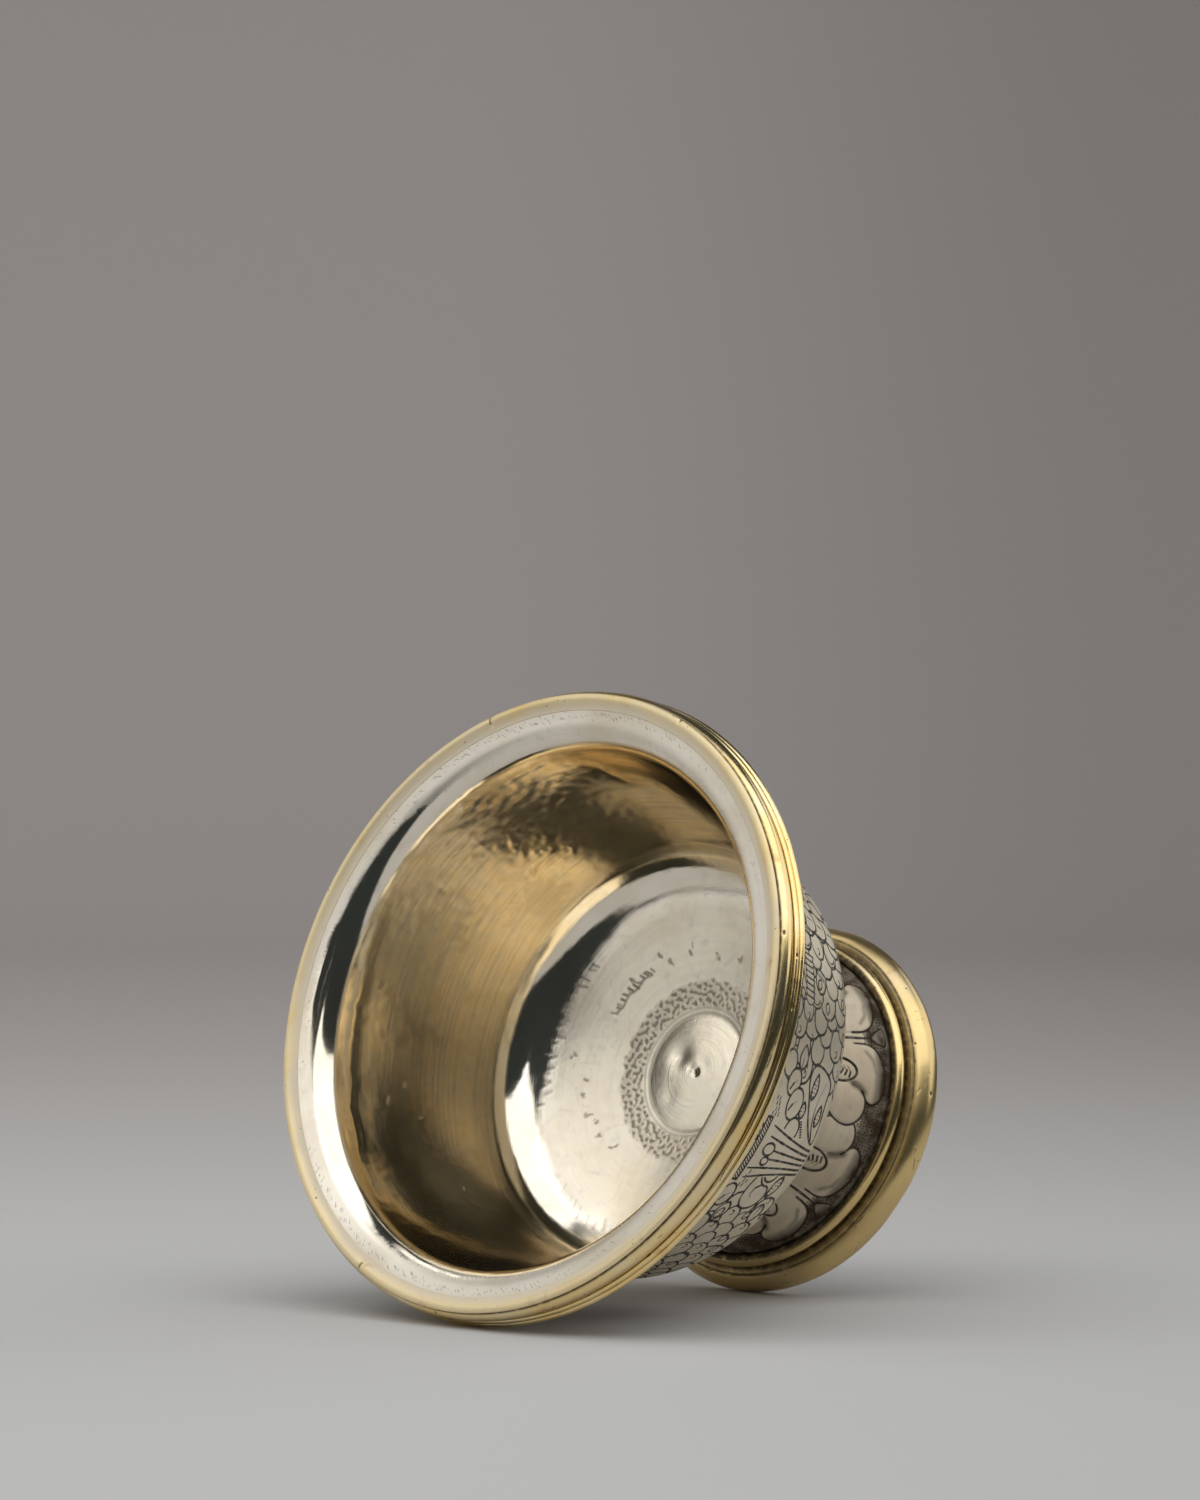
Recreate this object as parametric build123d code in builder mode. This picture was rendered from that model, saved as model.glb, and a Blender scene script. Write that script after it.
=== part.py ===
"""Footed offering bowl in parcel-gilt silver: a raised cup with a turned-out lip, gilt mouldings
round the rim and the foot, and a hollow foot chased with a ring of two-lobed lotus petals.

Frame: origin at the centre of the foot's underside, +Z along the bowl's axis towards the mouth.
All sizes are in millimetres.
"""
import os
from math import asin, degrees, sqrt

from build123d import *

os.makedirs("parts", exist_ok=True)

# Overall height and the seams between pieces
total_height = 69.0  # table to the top of the rim bead
solder_seam = 0.05  # film of solder left between two fitted pieces

# Cup, raised from one sheet
cup_sheet = 1.0
floor_height = 24.9  # inside of the cup at its axis, above the table
floor_rise = 6.0  # how far the dished floor climbs to the heel
heel_radius = 34.4  # where the floor's line meets the wall's line, inside
heel_round = 8.0
mouth_radius = 42.7  # where the wall's line meets the lip's line, inside
mouth_round = 4.5
lip_width = 5.7
lip_rise = 1.0
lip_below_top = 1.3  # the lip's outer edge, under the top of the rim bead
umbo_radius = 9.3  # plain low boss in the middle of the floor
umbo_rise = 0.5

# Rim bead, a round wire set in the corner outside the lip
rim_wire = 1.5

# Rim moulding, a reeded band under the rim bead; each reed is its height and how far it swells
rim_reeds = ((2.8, 0.85), (0.9, 0.75), (1.0, 0.9))
reed_groove = 0.15  # flat of the groove between two reeds
reed_depth = 1.5  # the grooves' floor, outside the lip's edge
reed_splay = 0.1  # each groove's floor lies this much further out than the one before it
band_under_lip = 1.6  # how far the band reaches in below the lip

# Foot skirt, raised from a second sheet and chased with petals
foot_sheet = 1.0
neck_radius = 19.2
waist_pinch = 1.7  # how far the skirt draws in from a straight taper
skirt_radius = 25.2  # its straight lower edge, inside the foot ring
skirt_lift = 0.4  # its lower edge, clear of the table

# Petals, each a pair of plump lobes that run to a point at the neck
petal_count = 5
lobe_length = 15.0  # from a lobe's point to the middle of its round end
lobe_ball = 7.0  # radius of the round end
lobe_swell = 1.1  # how far the round end stands out of the skirt
lobe_splay = 9.0  # the two lobes of a petal lean together at their points by this many degrees each
lobe_tip_gap = 0.8  # from the round ends to the foot bead

# Foot bead, a round wire, and the foot ring under it
foot_wire = 2.1
ring_height = 5.75
ring_sole = 2.7  # width of the flat that stands on the table
ring_swell = 5.1  # widest part of the ring, outside the skirt
ring_swell_height = 3.0
ring_fillet = 0.35  # small square fillet on top of the ring
ring_shoulder = 3.0  # outer edge of that fillet, outside the skirt

# Levels and radii that follow from the sizes above
lip_edge_radius = mouth_radius + lip_width
lip_edge_height = total_height - lip_below_top
mouth_height = lip_edge_height - lip_rise
heel_height = floor_height + floor_rise
floor_curve = (heel_radius**2 + floor_rise**2) / (2 * floor_rise)
rim_wire_centre = (lip_edge_radius + solder_seam + rim_wire / 2, total_height - rim_wire / 2)
foot_wire_centre = (
    skirt_radius + solder_seam + foot_wire / 2,
    ring_height + solder_seam + foot_wire / 2,
)
skirt_top_of_edge = foot_wire_centre[1] + foot_wire / 2


def floor_line(radius, below):
    """Height of the dished floor at a radius, or of a line that runs evenly below it."""
    return floor_height + floor_curve - sqrt((floor_curve + below) ** 2 - radius**2)


# Cup: floor, wall and turned-out lip drawn as one line inside, thickened outwards and spun
with BuildPart() as cup:
    with BuildSketch(Plane.XZ):
        with BuildLine() as inside:
            floor = TangentArc((0, floor_height), (heel_radius, heel_height), tangent=(1, 0))
            wall = Line(floor @ 1, (mouth_radius, mouth_height))
            lip = Line(wall @ 1, (lip_edge_radius, lip_edge_height))
            heel_corner = inside.vertices().sort_by_distance((heel_radius, heel_height))[0]
            fillet(heel_corner, heel_round)
            mouth_corner = inside.vertices().sort_by_distance((mouth_radius, mouth_height))[0]
            fillet(mouth_corner, mouth_round)
            offset(amount=cup_sheet, side=Side.RIGHT)
        make_face()
    revolve(axis=Axis.Z)
    umbo_edge = (umbo_radius, floor_line(umbo_radius, 0))
    with BuildSketch(Plane.XZ):
        with BuildLine():
            crown = TangentArc((0, floor_height + umbo_rise), umbo_edge, tangent=(1, 0))
            Polyline(
                crown @ 1,
                (umbo_radius, floor_line(umbo_radius, cup_sheet / 2)),
                (0, floor_height - cup_sheet / 2),
                crown @ 0,
            )
        make_face()
    revolve(axis=Axis.Z)
cup.part.label = "cup"
export_step(cup.part, "parts/cup.step")

# Rim bead: the wire that covers the sheet's cut edge at the mouth
with BuildPart() as rim_bead:
    with BuildSketch(Plane.XZ):
        with Locations(rim_wire_centre):
            Circle(rim_wire / 2)
    revolve(axis=Axis.Z)
rim_bead.part.label = "rim_bead"
export_step(rim_bead.part, "parts/rim_bead.step")

# Rim moulding: reeds outside, and a rebate inside that takes the edge of the lip
lip_slope = lip_rise / lip_width
lip_underside = cup_sheet * sqrt(1 + lip_slope**2) + solder_seam
band_top = rim_wire_centre[1] - rim_wire / 2 - solder_seam
rebate_radius = lip_edge_radius + cup_sheet * lip_slope / sqrt(1 + lip_slope**2) + solder_seam
band_inner = lip_edge_radius - band_under_lip
with BuildPart() as rim_moulding:
    with BuildSketch(Plane.XZ):
        with BuildLine():
            groove = lip_edge_radius + reed_depth
            level = band_top
            corner = (groove, level)
            for height, swell in rim_reeds:
                crest = (groove + swell, level - height / 2)
                foot = (groove + reed_splay, level - height)
                ThreePointArc(corner, crest, foot)
                groove += reed_splay
                level -= height + reed_groove
                corner = (groove, level)
                Line(foot, corner)
            Polyline(
                corner,
                (band_inner, level),
                (band_inner, lip_edge_height - lip_underside - band_under_lip * lip_slope),
                (rebate_radius, lip_edge_height - lip_underside),
                (rebate_radius, band_top),
                (lip_edge_radius + reed_depth, band_top),
            )
        make_face()
    revolve(axis=Axis.Z)
rim_moulding.part.label = "rim_moulding"
export_step(rim_moulding.part, "parts/rim_moulding.step")

# Skirt's flare, from the seat under the cup down to the straight lower edge
neck_top = floor_line(neck_radius, cup_sheet) - solder_seam
neck_inner = neck_radius - foot_sheet
neck_inner_top = floor_line(neck_inner, cup_sheet) - solder_seam
flare_width = skirt_radius - neck_radius
flare_drop = neck_top - skirt_top_of_edge
flare_out = Vector(flare_drop, flare_width).normalized()
flare_middle = Vector(neck_radius + flare_width / 2, neck_top - flare_drop / 2) - flare_out * waist_pinch
with BuildLine(mode=Mode.PRIVATE) as flare_line:
    flare = ThreePointArc(
        (neck_radius, neck_top), flare_middle, (skirt_radius, skirt_top_of_edge)
    )

# One lobe of a petal: a drop whose round end is sunk in the skirt and whose point meets its face
lobe_sink = lobe_ball - lobe_swell
lobe_reach = sqrt(lobe_ball**2 - lobe_sink**2)
lobe_place = 1 - (lobe_tip_gap + lobe_reach) / flare.length
lobe_seat = flare @ lobe_place
lobe_run = flare % lobe_place
lobe_tip_angle = degrees(asin(lobe_ball / lobe_length))
lobe_tilt = degrees(asin(lobe_sink / lobe_length))
with BuildPart() as lobe:
    with BuildSketch(Plane.XY):
        with BuildLine():
            round_end = CenterArc((0, 0), lobe_ball, 0, 90 + lobe_tip_angle)
            Polyline(round_end @ 1, (-lobe_length, 0), round_end @ 0)
        make_face()
    revolve(axis=Axis.X)
lobe_frame = Plane(
    origin=(lobe_seat.X, 0, lobe_seat.Y),
    x_dir=(lobe_run.X, 0, lobe_run.Y),
    z_dir=(-lobe_run.Y, 0, lobe_run.X),
)

# Foot skirt: flared shell with its petals raised round it, hollow and open underneath
with BuildPart() as foot_skirt:
    with BuildSketch(Plane.XZ):
        with BuildLine():
            add(flare)
            Polyline(
                flare @ 1,
                (skirt_radius, skirt_lift),
                (0, skirt_lift),
                (0, neck_inner_top),
                (neck_inner, neck_inner_top),
                flare @ 0,
            )
        make_face()
    revolve(axis=Axis.Z)
    for side in (-1, 1):
        turn = side * 360 / petal_count / 4
        splay = Location((0, 0, 0), (0, 0, side * lobe_splay))
        lean = lobe_frame.location * splay * Location((0, 0, -lobe_sink), (0, lobe_tilt, 0))
        with PolarLocations(0, petal_count, start_angle=turn):
            add(lean * lobe.part)
    with BuildSketch(Plane.XZ):
        with BuildLine():
            hollow = ThreePointArc(
                (neck_inner, neck_inner_top),
                flare_middle - flare_out * foot_sheet,
                (skirt_radius - foot_sheet, skirt_top_of_edge),
            )
            Polyline(
                hollow @ 1,
                (skirt_radius - foot_sheet, 0),
                (0, 0),
                (0, total_height),
                (neck_inner, total_height),
                hollow @ 0,
            )
        make_face()
    revolve(axis=Axis.Z, mode=Mode.SUBTRACT)
foot_skirt.part.label = "foot_skirt"
export_step(foot_skirt.part, "parts/foot_skirt.step")

# Foot bead: the wire in the corner between the skirt and the foot ring
with BuildPart() as foot_bead:
    with BuildSketch(Plane.XZ):
        with Locations(foot_wire_centre):
            Circle(foot_wire / 2)
    revolve(axis=Axis.Z)
foot_bead.part.label = "foot_bead"
export_step(foot_bead.part, "parts/foot_bead.step")

# Foot ring: a swelling moulding with a flat sole, slipped over the skirt's lower edge
ring_bore = skirt_radius + solder_seam
ring_top_edge = (skirt_radius + ring_shoulder, ring_height - ring_fillet)
with BuildPart() as foot_ring:
    with BuildSketch(Plane.XZ):
        with BuildLine():
            swell = ThreePointArc(
                (ring_bore + ring_sole, 0),
                (skirt_radius + ring_swell, ring_swell_height),
                ring_top_edge,
            )
            Polyline(
                swell @ 1,
                (skirt_radius + ring_shoulder, ring_height),
                (ring_bore, ring_height),
                (ring_bore, 0),
                swell @ 0,
            )
        make_face()
    revolve(axis=Axis.Z)
foot_ring.part.label = "foot_ring"
export_step(foot_ring.part, "parts/foot_ring.step")
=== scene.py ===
"""Footed offering bowl in parcel-gilt silver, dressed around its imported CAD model.

The bowl keeps the CAD frame: origin at the centre of the foot's underside, +Z along its axis
towards the mouth. Shapes are worked out in millimetres and made in metres.
"""
from math import ceil, cos, pi, radians, sin, sqrt, tau

import bpy
import numpy as np
from mathutils import Matrix, Vector


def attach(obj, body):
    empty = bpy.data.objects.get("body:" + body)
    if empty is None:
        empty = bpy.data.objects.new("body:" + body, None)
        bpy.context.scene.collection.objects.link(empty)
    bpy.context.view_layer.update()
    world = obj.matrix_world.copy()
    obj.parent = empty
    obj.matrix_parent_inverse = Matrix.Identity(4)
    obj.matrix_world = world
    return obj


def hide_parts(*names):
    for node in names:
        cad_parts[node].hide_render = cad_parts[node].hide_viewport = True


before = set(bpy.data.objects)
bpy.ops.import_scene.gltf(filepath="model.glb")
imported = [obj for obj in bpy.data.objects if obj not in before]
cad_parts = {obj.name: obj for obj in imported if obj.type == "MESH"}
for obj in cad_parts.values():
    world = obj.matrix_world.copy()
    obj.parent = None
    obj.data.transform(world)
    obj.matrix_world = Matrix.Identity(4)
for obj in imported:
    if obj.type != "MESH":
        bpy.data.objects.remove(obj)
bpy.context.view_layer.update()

# Cup: raised from one sheet of silver, with a turned-out lip, and gilt on the inside of its wall.
# The floor is left white, with a matted ring punched round a low boss. The outside is engraved
# all over with scales, leaves and three rayed palmettes, and the cuts are blackened.
MM = 0.001
cup_sheet = 1.0
floor_height, floor_rise = 24.9, 6.0
heel_radius, heel_round = 34.4, 8.0
mouth_radius, mouth_round = 42.7, 4.5
lip_width, lip_rise, lip_height = 5.7, 1.0, 67.7
umbo_radius, umbo_rise = 9.3, 0.5
near_side = radians(-152.0)  # side of the bowl that faces the camera as it lies
chance = np.random.default_rng(41)


def straight(start, end, step):
    """Points of a straight stretch, without its end. A point is radius + height * 1j."""
    count = ceil(abs(end - start) / step)
    return start + (end - start) * np.linspace(0, 1, count, endpoint=False)


def arc(centre, start, end, step):
    """Points of an arc, the short way round its centre, without its end."""
    sweep = np.angle((end - centre) / (start - centre))
    count = ceil(abs(start - centre) * abs(sweep) / step)
    turns = np.linspace(0, 1, count, endpoint=False)
    return centre + (start - centre) * np.exp(1j * sweep * turns)


def lengths(line):
    """Distance along a line at each of its points."""
    return np.r_[0, np.cumsum(abs(np.diff(line)))]


def left_of(line):
    """Unit normals on the left of a line."""
    run = np.gradient(line)
    return 1j * run / abs(run)


def dot(a, b):
    return (a * np.conj(b)).real


heel = heel_radius + (floor_height + floor_rise) * 1j
mouth = mouth_radius + (lip_height - lip_rise) * 1j
lip_edge = mouth_radius + lip_width + lip_height * 1j
floor_curve = (heel_radius**2 + floor_rise**2) / (2 * floor_rise)
floor_centre = (floor_height + floor_curve) * 1j
wall_up = (mouth - heel) / abs(mouth - heel)
wall_in = wall_up * 1j
lip_up = (lip_edge - mouth) / abs(lip_edge - mouth) * 1j
beside_heel = heel + heel_round * wall_in - floor_centre
slide = dot(beside_heel, wall_up)
slide += sqrt(slide**2 - abs(beside_heel) ** 2 + (floor_curve - heel_round) ** 2)
heel_centre = floor_centre + beside_heel - wall_up * slide
mouth_centre = mouth - mouth_round * (wall_in + lip_up) / (1 + dot(wall_in, lip_up))
to_heel = heel_centre - floor_centre
floor_end = floor_centre + to_heel / abs(to_heel) * floor_curve
wall_start = heel_centre - heel_round * wall_in
wall_end = mouth_centre + mouth_round * wall_in
lip_start = mouth_centre + mouth_round * lip_up
umbo_edge = umbo_radius + floor_centre - 1j * sqrt(floor_curve**2 - umbo_radius**2)
umbo_top = (floor_height + umbo_rise) * 1j
crown_sag = umbo_top.imag - umbo_edge.imag
crown_centre = umbo_top - 1j * (umbo_radius**2 + crown_sag**2) / (2 * crown_sag)


def cup_line(first, floor_step, heel_step, wall_step, roll_step):
    """The cup's inner line from a point on its floor to the start of the lip."""
    return np.concatenate([
        arc(floor_centre, first, floor_end, floor_step),
        arc(heel_centre, floor_end, wall_start, heel_step),
        straight(wall_start, wall_end, wall_step),
        arc(mouth_centre, wall_end, lip_start, roll_step),
    ])


def ease(value, low, high):
    """0 below low, 1 above high and a smooth step between."""
    share = np.clip((value - low) / (high - low), 0, 1)
    return share * share * (3 - 2 * share)


def bell(value, width):
    """1 at 0, falling away smoothly on both sides."""
    return np.exp(-((value / width) ** 2))


def loop_of(outline):
    """An outline that comes back to its start."""
    return np.r_[outline, outline[:1]]


def encloses(loop, places):
    """Which places lie inside a closed loop."""
    spread = places[..., None]
    return abs(np.angle((loop[1:] - spread) / (loop[:-1] - spread)).sum(-1)) > pi


def ripple(turn, along, radius, size, waves=28):
    """Even hand-made unevenness, about size mm from crest to crest, that closes round the piece."""
    total = np.zeros(np.broadcast(turn, along).shape)
    for _ in range(waves):
        lean, phase = chance.uniform(0, tau, 2)
        pace = tau / size * chance.uniform(0.7, 1.4)
        around = round(pace * radius * cos(lean))
        total += np.cos(around * turn + pace * sin(lean) * along + phase)
    return total / sqrt(waves / 2)


class Worked:
    """A turned surface laid out flat for the graver: a row for each ring, a column for each step
    round. cut is a point's distance in mm from the edge of the nearest cut, below zero inside it.
    relief is how far the point is raised and stain how brown it has gone. Places on it are turn +
    distance along the line; shapes are drawn about a place as across + along * 1j, in mm."""

    untouched = 2.0

    def __init__(self, along, radius, count):
        self.along, self.radius, self.count = along, radius, count
        self.turn = np.arange(count) * tau / count
        self.cut = np.full((len(along), count), self.untouched)
        self.relief = np.zeros((len(along), count))
        self.stain = np.zeros((len(along), count))

    def patch(self, turn, along, reach):
        """Rows and columns within reach of a place, and their flat positions from it."""
        rows = np.nonzero(abs(self.along - along) <= reach)[0]
        step = tau / self.count
        narrow = self.radius[rows].min() if len(rows) else 1.0
        half = min(int(reach / (narrow * step)) + 1, self.count // 2 - 1)
        columns = np.arange(-half, half + 1) + round(turn / step)
        across = (columns * step - turn) * self.radius[rows][:, None]
        return rows[:, None], columns % self.count, across + (self.along[rows, None] - along) * 1j

    def shape(self, turn, along, outline, width, swell=0.0, bulge=0.8, cut_edge=None):
        """A raised shape that covers what lies under it, with all of its edge cut, or a part."""
        loop = loop_of(outline)
        rows, columns, flat = self.patch(turn, along, abs(outline).max() + abs(width))
        if not len(rows):
            return
        gap = distance(flat, loop)
        inside = encloses(loop, flat)
        cut = np.where(inside, self.untouched, self.cut[rows, columns])
        self.cut[rows, columns] = np.minimum(
            cut, (gap if cut_edge is None else distance(flat, cut_edge)) - width / 2)
        rim = 1 - np.minimum(gap / bulge, 1)
        self.relief[rows, columns] = np.where(
            inside, swell * np.sqrt(1 - rim**2), self.relief[rows, columns])

    def stroke(self, turn, along, path, width, tail=0.3):
        """One stroke of the graver, from its full width down to a tail."""
        rows, columns, flat = self.patch(turn, along, abs(path).max() + width)
        if not len(rows):
            return
        share = np.linspace(1, tail, len(path) - 1)
        edge = distance(flat, path, share * width / 2)
        self.cut[rows, columns] = np.minimum(self.cut[rows, columns], edge)

    def press(self, turn, along, path, depth, width, stain=0.0):
        """A soft furrow along a path, browned by stain, or a ridge where depth is below zero."""
        rows, columns, flat = self.patch(turn, along, abs(path).max() + 3 * width)
        if len(rows):
            furrow = bell(distance(flat, path), width)
            self.relief[rows, columns] -= depth * furrow
            self.stain[rows, columns] = np.maximum(self.stain[rows, columns], stain * furrow)

    def dots(self, turn, along, places, size):
        """Marks of a round punch."""
        for place in places:
            here = turn + place.real / np.interp(along + place.imag, self.along, self.radius)
            rows, columns, flat = self.patch(here, along + place.imag, size)
            if len(rows):
                edge = abs(flat) - size / 2 * chance.uniform(0.8, 1.15)
                self.cut[rows, columns] = np.minimum(self.cut[rows, columns], edge)


def distance(flat, path, widths=0.0):
    """Distance from each flat position to a path of short runs, less the half width of each run."""
    run = path[1:] - path[:-1]
    away = flat[..., None] - path[:-1]
    share = np.clip(dot(away, run) / (abs(run) ** 2 + 1e-12), 0, 1)
    return (abs(away - share * run) - widths).min(-1)


def spin(name, bands, closed=False):
    """Mesh of a piece turned about the bowl's axis. A band is its rings, radius + height * 1j for
    each step round, and the marks its material reads. Neighbouring bands meet with a whole number
    of steps on one for each step on the other."""
    points, quads, triangles, edges, start = [], [], [], [], 0
    marks = {mark: [] for mark in bands[0][1]}
    for rings, values in bands:
        rows, count = rings.shape
        turn = np.arange(count) * tau / count
        across = rings.real
        points.append(np.stack([across * np.cos(turn), across * np.sin(turn), rings.imag], -1))
        index = start + np.arange(rows * count).reshape(rows, count)
        upper, lower = index[:-1], index[1:]
        quads.append(np.stack(
            [upper, np.roll(upper, -1, 1), np.roll(lower, -1, 1), lower], -1).reshape(-1, 4))
        edges.append((index[0], index[-1]))
        start += rows * count
        for mark in marks:
            marks[mark].append(np.broadcast_to(values[mark], rings.shape).ravel())
    joins = list(zip(edges, edges[1:] + edges[:1]))
    for (_, upper), (lower, _) in joins if closed else joins[:-1]:
        fine, coarse = (upper, lower) if len(upper) >= len(lower) else (lower, upper)
        ratio = len(fine) // len(coarse)
        step = np.arange(len(fine))
        near = coarse[(step + ratio // 2) // ratio % len(coarse)]
        after, after_near = np.roll(fine, -1), np.roll(near, -1)
        fans = np.stack([fine, after, near], -1)
        moved = near != after_near
        fans = np.r_[fans, np.stack([near, after, after_near], -1)[moved]]
        triangles.append(fans if fine is upper else fans[:, ::-1])
    profile = np.concatenate([rings[:, 0] for rings, _ in bands])
    nearby = np.roll(profile, -1)
    outward = (profile.real * nearby.imag - nearby.real * profile.imag).sum() > 0
    quads = np.concatenate(quads)
    triangles = np.concatenate(triangles) if triangles else np.zeros((0, 3), int)
    if not outward:
        quads, triangles = quads[:, ::-1], triangles[:, ::-1]
    corners = np.r_[quads.ravel(), triangles.ravel()]
    firsts = np.r_[np.arange(len(quads)) * 4, len(quads) * 4 + np.arange(len(triangles)) * 3]
    mesh = bpy.data.meshes.new(name)
    mesh.vertices.add(start)
    co = np.concatenate([p.reshape(-1, 3) for p in points]) * MM
    mesh.vertices.foreach_set("co", co.ravel().astype(np.float32))
    mesh.loops.add(len(corners))
    mesh.loops.foreach_set("vertex_index", corners.astype(np.int32))
    mesh.polygons.add(len(firsts))
    mesh.polygons.foreach_set("loop_start", firsts.astype(np.int32))
    mesh.update(calc_edges=True)
    mesh.shade_smooth()
    for mark, values in marks.items():
        layer = mesh.attributes.new(mark, "FLOAT", "POINT")
        layer.data.foreach_set("value", np.concatenate(values).astype(np.float32))
    piece = bpy.data.objects.new(name, mesh)
    bpy.context.scene.collection.objects.link(piece)
    return piece


# Inside of the cup: rings of the plain boss, of floor, heel, wall and roll, and of the lip
fine_round, wall_round, boss_round, lip_round, base_round = 2304, 768, 192, 2304, 384
boss_line = np.r_[straight(0.15, 1.2, 0.15), straight(1.2, umbo_radius, 0.3)] + 0j
boss_line = boss_line + crown_centre + 1j * np.sqrt(abs(umbo_top - crown_centre) ** 2 - boss_line.real**2)
inner_line = cup_line(umbo_edge, 0.22, 0.28, 0.35, 0.2)
lip_line = np.r_[straight(lip_start, lip_edge, 0.13), lip_edge]
inner_along = umbo_radius + lengths(inner_line)
lip_along = inner_along[-1] + abs(lip_start - inner_line[-1]) + lengths(lip_line)
inside = Worked(inner_along, inner_line.real, wall_round)
lip = Worked(lip_along, lip_line.real, lip_round)
around, up, level_line = inside.turn[None], inner_along[:, None], np.zeros((1, 1))


def seen(angle):
    """Turn of a place that lies so many degrees round from the side facing the camera."""
    return near_side + radians(angle)


def tick(length, lean):
    """A short straight mark, leaning from the way round by an angle in degrees."""
    half = length / 2 * np.exp(1j * radians(lean))
    return np.array([-half, 0, half])


def beside(angle, turn, low, high):
    """1 about a place so many degrees round from the side facing the camera, and 0 far from it."""
    return ease(np.cos(turn - seen(angle)), low, high)


def by_angle(table, turn):
    """Values read off a table by degrees round from the side facing the camera."""
    return np.interp((np.degrees(turn - near_side) + 180) % 360 - 180, *np.array(table).T)


# Matted ring: two soft circles, then rows of small curled punch marks with a frayed outer edge
frayed = 0.14 * ripple(around, level_line, 15.0, 2.6)
mat = ease(up, 10.7, 11.2) * (1 - ease(up, 14.4 + frayed, 15.3 + frayed))
worms = ease(ripple(around, up, 12.8, 1.15), 0.15, 0.85)
waver = 0.06 * ripple(around, level_line, 10.0, 9.0)
circles = 0.8 * bell(up - 9.75 - waver, 0.3) + 0.65 * bell(up - 10.6 - waver, 0.26)
inside.relief -= 0.05 * mat * worms + 0.05 * np.minimum(circles, 1)
inside.stain = np.maximum(mat * (0.07 + 0.5 * worms), 0.45 * circles)

# Chatter of a scraper on the floor, one smudged arc with teeth on its upper side, and marks left by use
smudge_side, smudge_along = seen(159), 19.8
smudge = np.linspace(-4.4, 4.6, 13)
inside.press(smudge_side, smudge_along, smudge + 0.2j * np.sin(1.7 * smudge), 0.03, 0.17, 0.6)
for place in np.linspace(-4.6, 5.0, 13) + chance.normal(0, 0.15, 13):
    inside.press(smudge_side - place / smudge_along, 20.2 + chance.uniform(-0.2, 0.3),
                 tick(chance.uniform(0.6, 1.5), 62 + chance.uniform(-14, 14)),
                 0.03, 0.17, chance.uniform(0.4, 0.95))
for angle, along, size in (
        (155.8, 21.4, 1.0), (138.3, 21.6, 0.9), (134.8, 19.7, 1.0), (121.8, 20.2, 1.1),
        (105.3, 18.8, 0.8), (90.8, 19.1, 1.0), (-148.6, 21.9, 0.9), (-138.9, 21.3, 1.0),
        (-135.0, 19.8, 0.9), (-116.8, 18.9, 1.1), (-155.2, 21.6, 0.6), (-127.0, 20.3, 0.7),
        (-165.0, 24.5, 0.6), (40.0, 22.0, 0.9), (5.0, 20.4, 1.0), (-40.0, 19.0, 0.8),
        (-75.0, 22.5, 0.9), (70.0, 25.0, 0.7)):
    for _ in range(4):
        inside.press(seen(angle) + size * chance.normal(0, 0.3) / along,
                     along + size * chance.normal(0, 0.35),
                     tick(size * chance.uniform(0.2, 0.8), 70 + chance.normal(0, 30)), 0.02, 0.17,
                     chance.uniform(0.25, 0.65))
for _ in range(90):
    inside.press(chance.uniform(0, tau), chance.uniform(16.5, 28.0),
                 tick(chance.uniform(0.6, 5.0), chance.uniform(0, 180)), 0.004, 0.14, 0.06)
for angle, along, length, lean in (
        (-141.9, 58.5, 1.2, 20), (-146.7, 55.0, 0.6, 20), (-139.1, 52.1, 0.7, 60),
        (-150.0, 50.0, 0.5, 30), (-120.0, 47.0, 0.8, 15), (-168.0, 62.0, 0.9, 10)):
    inside.press(seen(angle), along, tick(length, lean), 0.03, 0.3, 0.7)

# Dents and curved hammer folds in the wall, thickest high up on the far side
for angle, along, size, depth in (
        (162.3, 57.5, 2.2, 0.05), (150.7, 62.9, 1.8, 0.06), (151.1, 55.7, 2.6, 0.05),
        (138.0, 57.0, 2.4, 0.06), (130.0, 62.0, 2.0, 0.05), (122.0, 54.0, 3.0, 0.05),
        (-177.1, 71.0, 0.7, 0.08), (112.0, 60.0, 2.4, 0.04), (-110.0, 60.0, 3.5, 0.04),
        (-60.0, 58.0, 3.0, 0.05), (20.0, 55.0, 4.0, 0.05), (60.0, 62.0, 2.5, 0.05)):
    inside.press(seen(angle), along, np.array([-0.3, 0.3 + 0j]), depth, size)
for _ in range(30):
    fold = chance.uniform(0.7, 1.3) * np.exp(1j * (chance.uniform(0, tau) + np.linspace(0, 2.4, 7)))
    inside.press(seen(chance.uniform(138, 166)), chance.uniform(46.0, 64.0), fold,
                 chance.uniform(0.015, 0.04), 0.35, 0.05)
inside.press(seen(150), 64.0, np.array([-3.5 + 5.5j, -1 + 1j, 1.5 - 3j, 2.2 - 8j]), 0.03, 0.4)
inside.press(seen(157), 61.0, np.array([-4 + 0.5j, 0, 3.5 + 1.2j]), 0.03, 0.4)
wall_middle, floor_edge = 38.0, 30.0  # radii about which the unevenness closes
on_wall = ease(up, 34.0, 42.0) * (1 - ease(up, 66.0, 70.0))
rough_part = on_wall * beside(148, around, 0.8, 0.97) * ease(up, 42.0, 54.0)
inside.relief += 0.008 * ripple(around, up, wall_middle, 12.0) * (0.2 + 0.8 * on_wall)
inside.relief += ((0.001 + 0.002 * on_wall) * ripple(around, up, wall_middle, 3.6)
                  + 0.002 * on_wall * ripple(around, up, wall_middle, 1.9))
inside.relief += 0.01 * rough_part * ripple(around, up, wall_middle, 2.6)

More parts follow.
